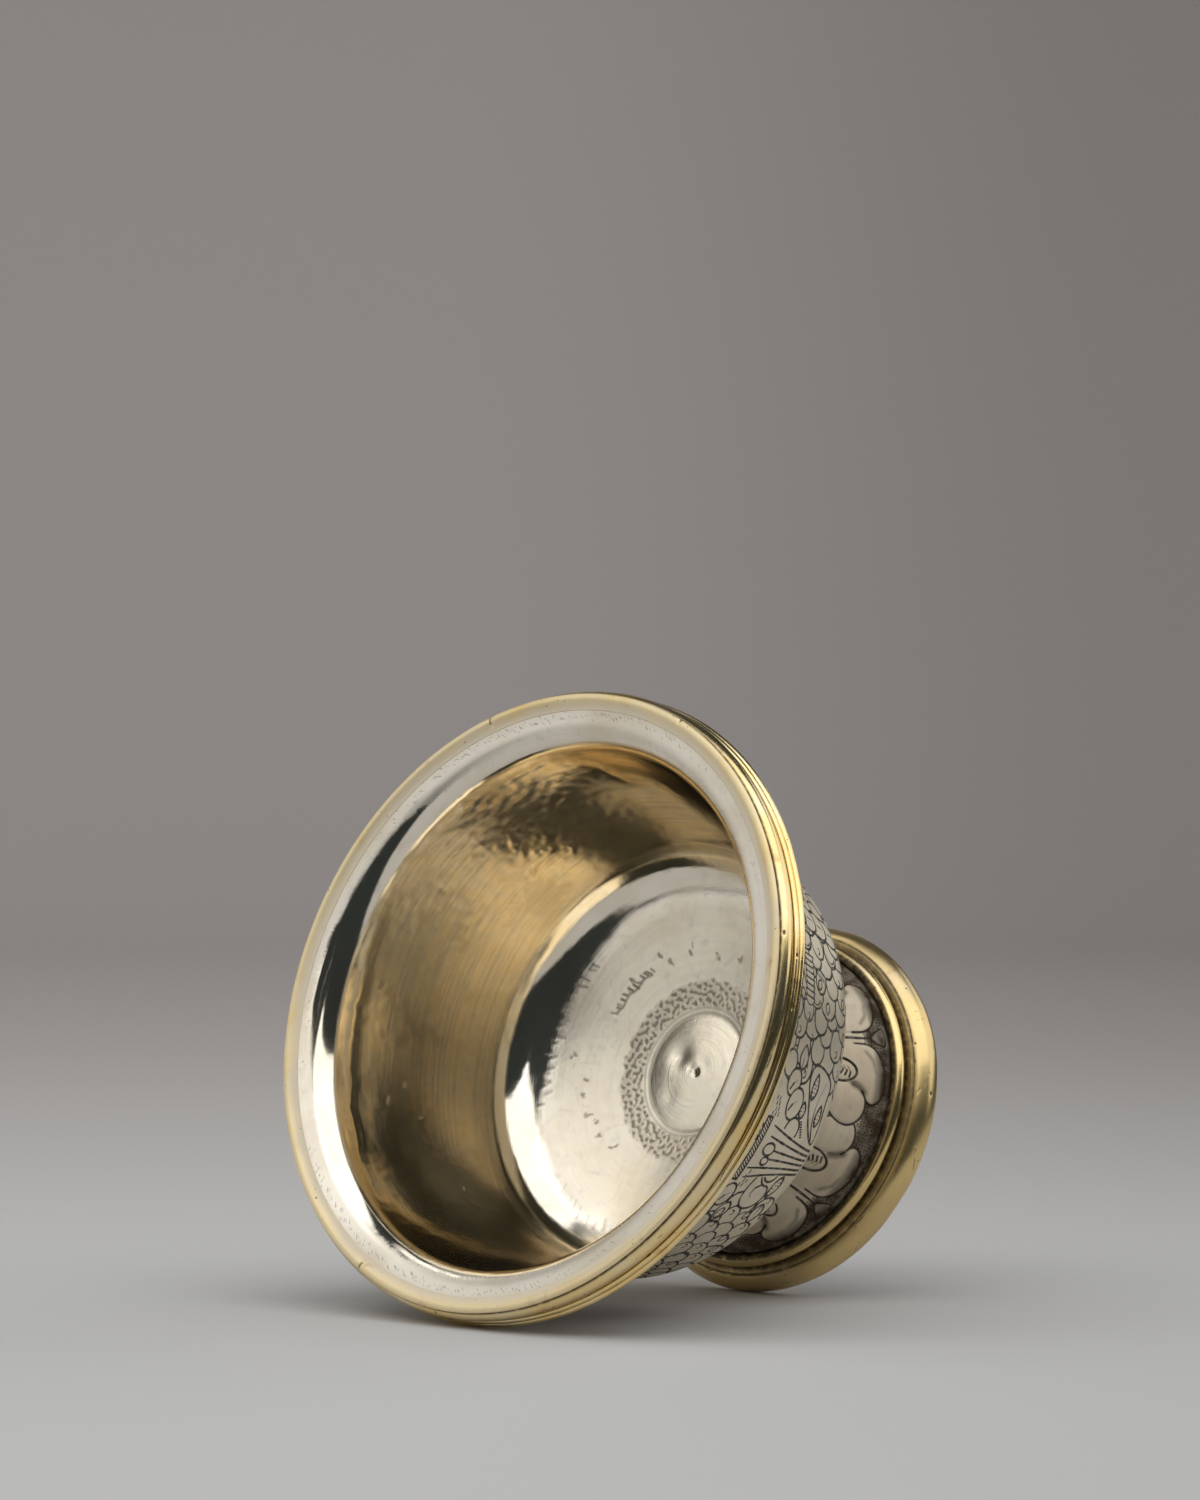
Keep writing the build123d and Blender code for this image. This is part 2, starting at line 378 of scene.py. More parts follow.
# Edge of the floor: it turns up into the heel, with a comb of tool marks along the turn on the left
combed = beside(-172, around, 0.72, 0.97) + 0.3 * beside(-95, around, 0.7, 0.95)
floor_rim = 28.8 + 0.25 * ripple(around, level_line, floor_edge, 22.0)
floor_rim = floor_rim + 0.1 * combed * ripple(around, level_line, floor_edge, 3.4)
inside.relief += 0.12 * bell(up - floor_rim - 2.7, 1.5)
for angle in np.linspace(163, 212, 22) + chance.normal(0, 0.8, 22):
    comb_tooth = tick(chance.uniform(0.8, 2.0), 90 + chance.uniform(-35, 5))
    inside.press(seen(angle), 28.3 + chance.normal(0, 0.3), comb_tooth,
                 0.015, 0.2, chance.uniform(0.15, 0.5))
for angle in np.linspace(-115, -80, 10) + chance.normal(0, 0.8, 10):
    inside.press(seen(angle), 29.6 + chance.normal(0, 0.4), tick(chance.uniform(0.8, 1.8), 60),
                 0.015, 0.2, 0.25)

# Gilding: on the wall up to a ragged edge on the roll, and a wash of it beside the rim bead. The floor
# has a faint yellow tint, a painted reflection of the gilt wall
gild_edge = (
    (-180, 67.6), (-170, 66.9), (-160, 66.7), (-150, 66.6), (-140, 66.8), (-130, 67.0), (-120, 67.7),
    (-110, 68.4), (-100, 69.0), (-90, 69.4), (-80, 70.0), (-70, 70.4), (-50, 69.0), (-20, 68.5),
    (20, 68.5), (50, 69.0), (70, 68.6), (80, 69.0), (90, 68.4), (100, 68.2), (110, 68.1), (120, 67.3),
    (130, 66.8), (140, 67.0), (150, 66.5), (160, 66.8), (170, 67.6), (180, 67.6))
edge = by_angle(gild_edge, inside.turn)[None]
edge = edge + 0.12 * ripple(around, level_line, 42.0, 9.0) + 0.08 * ripple(around, level_line, 42.0, 2.5)
heel_fade = 37.0 + 0.8 * ripple(around, level_line, 35.0, 15.0)
inside_gilt_and_reflection = (1 - ease(up, edge - 0.25, edge + 0.3)) * ease(up, heel_fade - 3.5, heel_fade + 2.5)
# Painted reflection: a faint gold tint over the floor, for the gilt wall mirrored in it
gold_reflection_tint = 0.22 * (1 - ease(up, 27.0, 30.0))
inside_gilt_and_reflection = np.maximum(inside_gilt_and_reflection, gold_reflection_tint)
inside.relief += 0.03 * bell(up - edge + 0.5, 0.55)
raised = ((-180, 0.08), (-174, 0.14), (-150, 0.16), (-130, 0.13), (-110, 0.06), (-90, 0.0), (170, 0.0),
          (180, 0.1))
inside.relief += by_angle(raised, inside.turn) * bell(up - edge + 0.9, 1.15)

# Lip: polished next to the roll and matted with a brush beyond a ragged edge, with fine slanting ticks
# in the matt part and a shallow trough along the left where it was beaten out
polish_edge = (
    (-180, 73.0), (-174, 73.8), (-156, 73.9), (-149, 72.4), (-140, 72.2), (-100, 71.6), (-60, 71.5),
    (60, 71.2), (140, 70.8), (150, 71.2), (156, 72.3), (160, 73.0), (172, 73.1), (180, 73.0))
trough = (
    (-180, 0.08), (-170, 0.14), (-160, 0.14), (-151, 0.05), (-144, 0.0), (140, 0.0), (155, 0.05),
    (170, 0.06), (180, 0.08))
trough_along, lip_radius = 72.5, 46.0


def lip_matt(work):
    """Presses the trough along the roll and the lip, and gives how matt they are."""
    round_it, reach = work.turn[None], work.along[:, None]
    work.relief -= by_angle(trough, work.turn) * bell(reach - trough_along, 0.9)
    ragged = by_angle(polish_edge, work.turn)[None]
    ragged = ragged + 0.12 * ripple(round_it, level_line, lip_radius, 5.0)
    ragged = ragged + 0.14 * ripple(round_it, level_line, lip_radius, 0.9)
    bright = 1 - 0.55 * beside(-135, work.turn, 0.8, 0.97)
    return (0.24 * ease(reach, ragged - 0.4, ragged + 0.6) + 0.3 * ease(reach, 73.4, 76.6)) * bright


tick_spacing, lip_middle = 0.4, 46.6
for turn in np.arange(0, tau, tick_spacing / lip_middle):
    ticked = max(cos(turn - seen(-85)), cos(turn - seen(118)))
    if chance.random() < 0.75 * ease(ticked, 0.6, 0.95) + 0.06:
        lip.stroke(turn, 74.3 + chance.normal(0, 0.4),
                   tick(chance.uniform(0.5, 1.1), 48 + chance.normal(0, 8)),
                   chance.uniform(0.13, 0.18), 0.4)
lip_reach = lip_along[:, None]
lip_wash = lip_along[-1] - 1.0 + 0.25 * ripple(lip.turn[None], level_line, 48.0, 14.0)
lip_gilt = 0.3 * ease(lip_reach, lip_wash - 0.3, lip_wash + 0.9)
lip.relief += 0.005 * ripple(lip.turn[None], lip_reach, 47.0, 9.0)

# How matt the silver is: satin on the floor, bright on the heel, the wall and the roll
inside_matt = np.interp(inner_along, [9, 16, 26.5, 28.8, 34, 42, 66, 70, 74],
                        [0.18, 0.2, 0.18, 0.05, 0.03, 0.06, 0.06, 0.04, 0.04])
inside_matt = inside_matt[:, None] + 0.12 * mat + lip_matt(inside)
inside_matt = inside_matt + 0.1 * on_wall * beside(-172, around, 0.75, 0.97) + 0.05 * rough_part
lip_gloss = 0.04 + lip_matt(lip)


def cut_depth(cut, depth):
    """How far a cut goes in, with a rounded edge."""
    return depth * (1 - ease(cut, -0.08, 0.05))


# Boss in the floor: a shallow pit at its middle, and the dents of what struck it
boss_turn = np.arange(boss_round)[None] * tau / boss_round
boss_reach = boss_line.real[:, None]
pit = bell(boss_reach, 0.5) * (1 + 0.3 * np.cos(2 * boss_turn + 1))
boss_spot = boss_reach * np.exp(1j * boss_turn)
boss_relief = -0.24 * pit
for out, angle, size, depth in ((4.6, 165, 2.0, 0.12), (2.0, 60, 1.2, 0.03), (6.0, -120, 1.6, 0.03),
                                (1.3, 170, 0.7, 0.05)):
    place = out * np.exp(1j * seen(angle))
    boss_relief = boss_relief - depth * bell(abs(boss_spot - place), size)

# Outside of the cup, laid out from the middle of its underside up to the lip
outer_line = cup_line(umbo_edge, 0.6, 0.16, 0.16, 0.16)
outer_line = np.r_[straight(floor_height * 1j + 0.6, umbo_edge.real + floor_height * 1j, 0.8), outer_line]
middle_part = outer_line[:20].real
outer_line[:20] = middle_part + floor_centre - 1j * np.sqrt(floor_curve**2 - middle_part**2)
outer_out = -left_of(outer_line)
outer_line = outer_line + cup_sheet * outer_out
outer_along = 0.6 + lengths(outer_line)
worked_from = np.searchsorted(outer_along, 29.5)
outside = Worked(outer_along[worked_from:], outer_line[worked_from:].real, fine_round)
line_width, fine_width = 0.42, 0.3
palmette_count, palmette_turn = 3, seen(-8.2)
palmette_middles = [palmette_turn + k * tau / palmette_count for k in range(palmette_count)]
palmette_foot = 37.5  # along the outside, where the cup turns under
field_start, field_top, field_radius = 32.0, 66.9, 43.0


def lobe(length, width):
    """Outline of a scale or petal: root at 0, round end at its length."""
    share = np.linspace(0, 1, 13)
    round_end = np.sqrt(np.maximum(1 - ((share - 0.5) / 0.5) ** 2, 0))
    half = np.where(share < 0.5, 0.78 + 0.44 * share, round_end)
    side = share * length + 0.5j * width * half
    return np.r_[side, np.conj(side[::-1])]


def leaf(length, width):
    """Outline of a leaf pointed at both ends, from its stem at 0."""
    share = np.linspace(0, 1, 13)
    side = share * length + 0.5j * width * np.sin(pi * share**0.85) ** 0.8
    return np.r_[side, np.conj(side[::-1])[1:-1]]


def curl(size, turns, hand):
    """A spiral stroke, wound in to its middle."""
    share = np.linspace(0, 1, 26)
    return size * (1 - 0.85 * share) * np.exp(1j * hand * tau * turns * share)


def smooth(points, passes=2, closed=True):
    """An outline with its corners cut off, again and again; an open one keeps its ends."""
    points = np.array(points)
    for _ in range(passes):
        after = np.roll(points, -1)
        cut_off = np.stack([0.75 * points + 0.25 * after, 0.25 * points + 0.75 * after], 1).ravel()
        points = cut_off if closed else np.r_[points[:1], cut_off[1:-3], points[-1:]]
    return points


def stipple(outline, spacing):
    """Uneven rows of punch marks that fill an outline."""
    across = np.arange(outline.real.min(), outline.real.max(), spacing)
    along = np.arange(outline.imag.min(), outline.imag.max(), spacing)
    stagger = (np.arange(len(across)) % 2)[:, None] * 0.5j * spacing
    grid = (across[:, None] + 1j * along[None] + stagger).ravel()
    grid = grid + chance.uniform(-0.06, 0.06, len(grid)) + 1j * chance.uniform(-0.06, 0.06, len(grid))
    return grid[encloses(loop_of(outline * 0.84 + 0.16 * outline.mean()), grid)]


def radius_at(along):
    return np.interp(along, outside.along, outside.radius)


def draw_heart(turn, along, heart):
    """A small outline filled with punch marks."""
    outside.stroke(turn, along, loop_of(heart), fine_width, 1.0)
    outside.dots(turn, along, stipple(heart, 0.56), 0.26)


def draw_leaf(turn, along, length, width, lean, filling):
    """A leaf about a place: filled with punch marks, with a dotted heart, or plain with a vein."""
    way = np.exp(1j * radians(lean))
    outline = (leaf(length, width) - 0.5 * length) * way
    outside.shape(turn, along, outline, line_width, 0.01)
    if filling == "dotted":
        outside.dots(turn, along, stipple(outline, 0.62), 0.3)
    elif filling == "heart":
        draw_heart(turn, along, outline * 0.55 + 0.08 * length * way)
    else:
        outside.stroke(turn, along, np.linspace(-0.4, 0.15, 5) * length * way, fine_width, 0.3)


def dashes(turn, along, outline, spacing):
    """A patch filled with rows of short dashes."""
    for place in stipple(outline, spacing):
        here = turn + place.real / radius_at(along + place.imag)
        outside.stroke(here, along + place.imag, tick(0.55, chance.normal(0, 6)), 0.3, 0.9)


# Scales: ranks on both sides of each palmette with their round ends towards it, each over the next
scale_long, scale_wide, rank_pitch, file_pitch = 5.6, 4.7, 3.4, 4.3
for middle in palmette_middles:
    for side, clear in ((1, 21.0), (-1, 14.0)):
        for rank in range(18):
            for file in range(-1, 12):
                along = field_start + (file + 0.5 * (rank % 2)) * file_pitch + chance.normal(0, 0.3)
                turned = radians(clear) + (rank * rank_pitch + chance.normal(0, 0.3)) / field_radius
                if not 30.5 < along < field_top + 2 or turned > pi / palmette_count + 0.05:
                    continue
                shrink = min(1.0, radius_at(along) / 42.0)
                way = -side * np.exp(0.14j * chance.normal())
                outline = lobe(scale_long * (1 + 0.08 * chance.normal()),
                               scale_wide * (1 + 0.1 * chance.normal()))
                outline = (outline.real * shrink + 1j * outline.imag - 0.5 * scale_long) * way
                turn = middle + side * turned
                outside.shape(turn, along, outline, line_width * chance.uniform(0.8, 1.1), 0.012)
                kind = chance.random()
                if kind < 0.14:
                    draw_heart(turn, along, (leaf(2.0, 1.3) + 0.1) * way * np.exp(0.2j * chance.normal()))
                elif kind < 0.24:
                    for share in (0.8, 0.6):
                        bow = (lobe(scale_long, scale_wide)[8:-8] - 0.5 * scale_long) * way * share
                        outside.stroke(turn, along, bow, fine_width, 0.6)
                elif kind < 0.46:
                    twist = curl(0.8, 0.6, side) * way + 0.12 * scale_long * way
                    outside.stroke(turn, along, twist, fine_width, 0.5)

# Rib of scales up each seam between two palmettes
for k in range(palmette_count):
    seam = palmette_turn + (k + 0.5) * tau / palmette_count
    for along in np.arange(30.0, field_top + 1, 3.6):
        rib_scale = (lobe(5.4, 5.0) - 2.7) * -1j * np.exp(0.08j * chance.normal())
        outside.shape(seam, along, rib_scale, line_width, 0.012)
        outside.stroke(seam, along, np.array([0.2j, -0.9j, -1.9j]), fine_width, 0.4)


def on_cup(places):
    """Degrees from a palmette's middle and distances along the outside, as a path about its foot."""
    degrees_off, along = np.array(places).T
    return np.radians(degrees_off) * radius_at(along) + 1j * (along - palmette_foot)


# Foliage beside each palmette: a long leaf, lobes and a bud on one hand, a turned leaf on the other
ring = np.exp(1j * np.linspace(0, tau, 25)[:-1])
for middle in palmette_middles:
    long_leaf = [
        (3.8, 38.4), (9.0, 42.6), (15.3, 45.2), (19.5, 47.0), (23.5, 46.4), (23.6, 43.0), (21.0, 39.4),
        (16.0, 39.8), (10.0, 38.8)]
    outside.shape(middle, palmette_foot, smooth(on_cup(long_leaf)), line_width, 0.012, 1.2)
    leaf_vein = [(5.0, 39.2), (10.5, 42.0), (16.0, 42.4), (20.5, 41.2)]
    outside.stroke(middle, palmette_foot, smooth(on_cup(leaf_vein), 2, False), fine_width, 0.4)
    turned_leaf = [
        (-5.0, 47.6), (-7.6, 49.0), (-12.6, 49.0), (-15.8, 46.8), (-15.0, 43.8), (-11.4, 42.6),
        (-8.2, 43.4), (-8.2, 45.4), (-7.0, 46.6)]
    outside.shape(middle, palmette_foot, smooth(on_cup(turned_leaf)), line_width, 0.012, 1.2)
    leaf_fold = [(-8.0, 45.6), (-9.2, 46.8), (-11.0, 47.0), (-12.0, 46.3)]
    outside.stroke(middle, palmette_foot, on_cup(leaf_fold), line_width, 0.4)
    for angle, along, length, width, lean, filling in (
            (18.4, 44.4, 4.2, 1.8, 0, "dotted"), (12.2, 40.6, 3.4, 1.6, 5, "dotted"),
            (-8.0, 41.6, 4.4, 1.9, 165, "dotted"), (-16.5, 41.0, 4.2, 2.4, 180, "plain"),
            (-17.5, 50.6, 4.4, 3.0, 175, "heart"), (23.5, 50.4, 4.0, 2.6, 0, "plain"),
            (13.0, 58.0, 4.6, 2.2, 60, "dotted"), (-13.0, 58.0, 4.6, 2.2, 120, "dotted")):
        draw_leaf(middle + radians(angle), along, length, width, lean, filling)
    for angle, along, wide, tall in (
            (21.0, 54.2, 2.2, 1.9), (17.4, 51.4, 2.2, 2.0), (12.8, 49.0, 2.6, 2.3), (6.8, 46.8, 2.1, 2.1),
            (-12.5, 53.4, 2.3, 1.9), (-4.4, 44.8, 1.7, 1.8)):
        rounded = wide * ring.real + 1j * tall * ring.imag
        outside.shape(middle + radians(angle), along, rounded, line_width, 0.012, 1.2)
    nick = np.array([-1.2 + 0.7j, -0.2 + 0.1j, 0.5 - 0.9j])
    for angle, along in ((17.4, 51.4), (12.8, 49.6), (-12.5, 53.4)):
        outside.stroke(middle + radians(angle), along, nick, line_width, 0.3)
    bud = (leaf(2.7, 1.7) - 0.6) * np.exp(0.15j)
    outside.shape(middle + radians(11.0), 45.8, bud, line_width, 0.0)
    outside.dots(middle + radians(11.0), 45.8, stipple(bud, 0.58), 0.28)
    for place in np.linspace(0.25, 1, 7):
        outside.stroke(middle + radians(10.6), 45.6, -place * (3.0 + 2.4j) + tick(0.5, 100), fine_width, 0.6)
    for patch in (
            [(8.0, 51.4), (14.5, 53.6), (13.5, 55.4), (8.0, 54.6)],
            [(-4.5, 49.8), (-10.5, 50.6), (-9.5, 52.6), (-5.0, 52.2)],
            [(19.5, 48.9), (23.0, 48.0), (23.5, 49.4), (20.0, 50.4)]):
        dashes(middle, palmette_foot, on_cup(patch), 0.85)
    for hand, off in ((1, 42.5), (-1, 50.0)):
        for place in np.arange(4.0, -3.1, -1.0):
            bow = 1.6 * np.exp(1j * (pi * (hand > 0) + radians(80) * np.linspace(-1, 1, 11)))
            outside.shape(middle + hand * radians(off), 51.2, bow + hand * place, fine_width, 0.0)
        for place in np.arange(-1.5, 1.6, 0.5):
            rung = 0.3 * place + place * 1j + tick(1.5, 20)
            outside.stroke(middle + hand * radians(off + 2.5), 47.6, rung, 0.24, 0.4)

# Palmette: six rays drawn together where the cup turns under, with a cord and loops round them and a
# lotus above
ray_width, lotus_foot, cord_along = 0.44, 55.4, 54.4
for middle in palmette_middles:
    fan = np.array([-2.2 - 0.2j, -3.0 + 5j, -4.9 + 13.6j, 4.9 + 13.6j, 3.0 + 5j, 2.2 - 0.2j])
    outside.shape(middle, palmette_foot, fan, -0.6, 0.0)
    for lean in (-58, 58, -30, 30, 0):
        way = np.exp(1j * radians(90 + lean))
        lotus_petal = (lobe(7.8 - abs(lean) / 40, 4.0) - 0.2) * way
        outside.shape(middle, lotus_foot, lotus_petal, line_width, 0.012, 1.2)
        outside.stroke(middle, lotus_foot, lobe(7.8, 4.0)[5:-5] * 0.68 * way, fine_width, 0.8)
    for start, end, top in (
            (-2.1, -4.9, 15.0), (-1.3, -3.2, 15.4), (-0.45, -1.0, 12.4), (0.4, 0.6, 11.4),
            (1.25, 2.7, 14.0), (2.1, 4.5, 14.6)):
        share = np.linspace(0, 1, 9)
        ray = start + (end - start) * share**1.35 + 1j * top * share
        gap = chance.integers(3, 6)
        beyond = np.r_[0.8 * ray[gap] + 0.2 * ray[gap + 1], ray[gap + 1:]]
        outside.stroke(middle, palmette_foot, ray[: gap + 1], ray_width, 0.8)
        outside.stroke(middle, palmette_foot, beyond, ray_width, 0.7)
    loop = 1.35 * np.exp(1j * np.linspace(0, tau, 17)[:-1])
    outside.shape(middle, 50.2, 0.8 * loop.real + 1.2j * loop.imag + 0.6, line_width, 0.0)
    outside.shape(middle, 49.6, 0.55 * loop.real + 0.75j * loop.imag - 1.4, line_width, 0.0)
    cord = np.array([-5.6 - 0.7j, 5.6 - 0.7j, 5.6 + 0.8j, -5.6 + 0.8j])
    outside.shape(middle, cord_along, cord, line_width, 0.0)
    for place in np.arange(-5.2, 5.3, 0.55):
        strand = place + np.array([-0.35 - 0.6j, 0.05j, 0.35 + 0.7j])
        outside.stroke(middle, cord_along, strand, fine_width, 0.6)
for border in (31.2, field_start, field_top):
    outside.cut = np.minimum(outside.cut, abs(outside.along[:, None] - border) - 0.1)
outside.relief += 0.006 * ripple(outside.turn[None], outside.along[:, None], 39.0, 14.0)


def unmarked(along, **given):
    """Marks of rings that the graver leaves alone, apart from those given."""
    plain = {"cut": Worked.untouched, "gilt": 0.0, "stain": 0.0, "matt": 0.2}
    return {"along": along[:, None], **plain, **given}


def rings(line, lift, out):
    """Rings along a line, raised along its normals by a lift for each point."""
    return line[:, None] + lift * out[:, None]


def even_rings(line, count):
    """Rings along a line that are the same all round."""
    return np.repeat(line[:, None], count, 1)


boss_marks = unmarked(boss_line.real, stain=ease(pit, 0.1, 0.8), gilt=0.35, matt=0.12)
boss_rings = rings(boss_line, boss_relief, np.full(len(boss_line), 1j))
top_rings = np.full((1, 1), 1j * boss_rings[0].imag.mean())
inner_rings = rings(inner_line, inside.relief - cut_depth(inside.cut, 0.06), left_of(inner_line))
inner_marks = unmarked(inner_along, gilt=inside_gilt_and_reflection, stain=inside.stain, matt=inside_matt)
lip_rings = rings(lip_line, lip.relief - cut_depth(lip.cut, 0.02), left_of(lip_line))
lip_marks = unmarked(lip_along, cut=lip.cut + 0.035, gilt=lip_gilt, matt=lip_gloss)
under_lip = straight(lip_edge - cup_sheet * lip_up, lip_start - cup_sheet * lip_up, 0.6)
under_rings = even_rings(under_lip, wall_round)
under_marks = unmarked(80 - lengths(under_lip))
outer_lift = outside.relief - cut_depth(outside.cut, 0.03)
outer_rings = rings(outer_line[worked_from:], outer_lift, outer_out[worked_from:])[::-1]
outer_marks = unmarked(outside.along[::-1] + 100, cut=outside.cut[::-1], gilt=0.4, matt=0.42)
base_rings = even_rings(outer_line[:worked_from][::-1], base_round)
base_marks = unmarked(outer_along[:worked_from][::-1] + 100)
single = unmarked(np.zeros(1))
cup = spin("silver_cup", [
    (top_rings, {**single, "stain": 1.0}), (boss_rings, boss_marks), (inner_rings, inner_marks),
    (lip_rings, lip_marks), (under_rings, under_marks), (outer_rings, outer_marks),
    (base_rings, base_marks), (np.full((1, 1), (floor_height - cup_sheet) * 1j), single)])


class Finish:
    """A material's look, put together from nodes."""

    def __init__(self, name):
        self.material = bpy.data.materials.new(name)
        self.material.use_nodes = True
        self.tree = self.material.node_tree
        self.tree.nodes.clear()
        self.shader = self.node("BsdfPrincipled")
        self.set(self.node("OutputMaterial"), Surface=self.shader.outputs[0])

    def set(self, node, **sockets):
        for socket, value in sockets.items():
            number = socket[1:]
            target = node.inputs[int(number) if number.isdigit() else socket.replace("_", " ")]
            if isinstance(value, bpy.types.NodeSocket):
                self.tree.links.new(value, target)
            else:
                target.default_value = value
        return node

    def node(self, kind, settings=None, **sockets):
        made = self.tree.nodes.new("ShaderNode" + kind)
        for name, value in (settings or {}).items():
            setattr(made, name, value)
        return self.set(made, **sockets)

    def mark(self, name):
        return self.node("Attribute", {"attribute_name": name}).outputs["Fac"]

    def sum(self, operation, first, second=0.0, third=0.0):
        return self.node("Math", {"operation": operation}, n0=first, n1=second, n2=third).outputs[0]

    def fade(self, value, low, high, to_low=0.0, to_high=1.0):
        sockets = {"Value": value, "From_Min": low, "From_Max": high, "To_Min": to_low, "To_Max": to_high}
        return self.node("MapRange", {"interpolation_type": "SMOOTHSTEP"}, **sockets).outputs[0]

    def mix(self, share, first, second):
        made = self.node("Mix", {"data_type": "RGBA"}, Factor=share)
        self.set(made, n6=first, n7=second)
        return made.outputs[2]

    def grain(self, scale, detail=3.0, vector=None, roughness=0.55):
        vector = vector or self.node("TexCoord").outputs["Object"]
        made = self.node("TexNoise", None, Vector=vector, Scale=scale, Detail=detail, Roughness=roughness)
        return made.outputs["Fac"]

    def around(self, round_scale, along_scale):
        """Coordinates that stretch a texture round the piece, as polishing on a lathe does."""
        place = self.node("SeparateXYZ", None, n0=self.node("TexCoord").outputs["Object"])
        return self.node("CombineXYZ", None, X=self.sum("MULTIPLY", place.outputs[0], round_scale),
                         Y=self.sum("MULTIPLY", place.outputs[1], round_scale),
                         Z=self.sum("MULTIPLY", self.mark("along"), along_scale)).outputs[0]

    def bump(self, height, distance, strength=1.0, normal=None):
        made = self.node("Bump", None, Height=height, Distance=distance, Strength=strength)
        if normal:
            self.set(made, Normal=normal)
        return made.outputs[0]


silver_white, silver_warm = (0.88, 0.81, 0.69, 1), (0.76, 0.67, 0.53, 1)
silver_dull = (0.34, 0.28, 0.21, 1)
wall_gold, wall_gold_worn = (0.85, 0.71, 0.47, 1), (0.82, 0.73, 0.56, 1)
black_filling = (0.022, 0.019, 0.016, 1)


def silver_finish(name, cut_strength, polish, brown):
    """Old silver: handling dulls it in clouds, polishing leaves fine lines round it, and black
    stays in every cut. Gilding lies where the piece is marked for it and is rubbed thin in places; on the
    cup's floor that mark is a painted reflection of the gilt wall. Brown lies where stain is
    marked: stains, and on the foot skirt painted shade by the bead."""
    look = Finish(name)
    clouds = look.grain(70.0, 4.0)
    spots = look.grain(420.0, 3.0)
    brushed = look.grain(1.0, 4.0, look.around(26.0, 1.5), 0.65)
    fine_lines = look.grain(1.0, 2.0, look.around(120.0, 9.0))
    body = look.mix(look.fade(clouds, 0.35, 0.75), silver_white, silver_warm)
    rubbed = look.fade(look.sum("MULTIPLY_ADD", brushed, 0.9, spots), 0.75, 1.15)
    gold = look.mix(rubbed, wall_gold, wall_gold_worn)
    gilt = look.mark("gilt")
    body = look.mix(gilt, body, gold)
    streaks = look.sum("MULTIPLY", look.fade(brushed, 0.42, 0.66), look.fade(gilt, 0.5, 1.0, 0.05, 0.3))
    dull = look.sum("MULTIPLY_ADD", look.fade(spots, 0.56, 0.75), 0.16, streaks)
    mottled = look.sum("MULTIPLY", look.fade(look.grain(240.0, 5.0), 0.48, 0.7, 0.0, 0.3), gilt)
    dull = look.sum("MAXIMUM", dull, mottled)
    body = look.mix(dull, body, silver_dull)
    cut = look.fade(look.mark("cut"), 0.06, -0.05)
    filling = look.fade(look.grain(900.0, 1.0), 0.2, 0.55, cut_strength * 0.7, cut_strength)
    cut = look.sum("MULTIPLY", cut, filling)
    body = look.mix(cut, body, black_filling)
    stain = look.sum("MULTIPLY", look.mark("stain"), look.fade(spots, 0.3, 0.6, 0.75, 1.0))
    body = look.mix(stain, body, brown)
    dirt_and_shade = look.sum("MAXIMUM", cut, stain)
    rough = look.sum("ADD", look.mark("matt"), polish)
    rough = look.sum("MULTIPLY_ADD", brushed, 0.05, rough)
    rough = look.sum("MULTIPLY_ADD", clouds, 0.05, rough)
    rough = look.sum("MULTIPLY_ADD", dirt_and_shade, 0.35, rough)
    tooth = look.bump(brushed, 0.00002, 0.4)
    tooth = look.bump(fine_lines, 0.000012, 0.5, tooth)
    tooth = look.bump(spots, 0.00004, 0.35, tooth)
    look.set(look.shader, Base_Color=body, Roughness=rough, Normal=tooth, Specular_IOR_Level=0.3,
             Metallic=look.fade(dirt_and_shade, 0.1, 0.9, 1.0, 0.15))
    return look.material


cup.data.materials.append(silver_finish("parcel_gilt_silver", 0.96, 0.0, (0.10, 0.065, 0.038, 1)))
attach(cup, "root")
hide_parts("cup")

# Rim moulding: a drawn band of silver gilt, one broad reed and two narrow ones, soldered under
# the lip. Its gilding is worn to a redder metal in patches, and the grooves have gone dark.
rim_reeds = ((2.8, 0.85), (0.9, 0.75), (1.0, 0.9))
reed_groove, reed_depth, reed_splay = 0.15, 1.5, 0.1
band_top, band_inner, rebate_radius = 67.45, 46.8, 48.62
rim_round, rim_radius = 1152, 50.0


def through(start, middle, end, step):
    """Points of the arc through three points, in two halves, without its end."""
    half, whole = middle - start, end - start
    centre = half * abs(whole) ** 2 - whole * abs(half) ** 2
    centre = start + centre / (half * whole.conjugate() - half.conjugate() * whole)
    return [arc(centre, start, middle, step), arc(centre, middle, end, step)]


def pits(work, count, along, size):
    """Pits scattered over a piece, their places and sizes within two ranges."""
    places = chance.uniform(0, tau, count), chance.uniform(*along, count)
    for turn, place, width in zip(*places, chance.uniform(*size, count)):
        work.dots(turn, place, [0j], width)


def scratches(work, count, along, length, lean, width):
    """Scratches scattered over a piece, leaning from the way round by about an angle in degrees."""
    for _ in range(count):
        work.stroke(chance.uniform(0, tau), chance.uniform(*along),
                    tick(chance.uniform(*length), chance.normal(0, lean)), chance.uniform(*width), 0.3)


def sunk(work, depth):
    """How far a gilt face lies below its line, with its hollows and cuts."""
    return np.minimum(work.relief, 0.0) - cut_depth(work.cut, depth)


def gilt_marks(work, groove, **given):
    """Marks of a gilt face: its cuts, and how dark each ring is made in its grooves and recesses."""
    return {"along": work.along[:, None], "cut": work.cut, "groove": groove[:, None], **given}


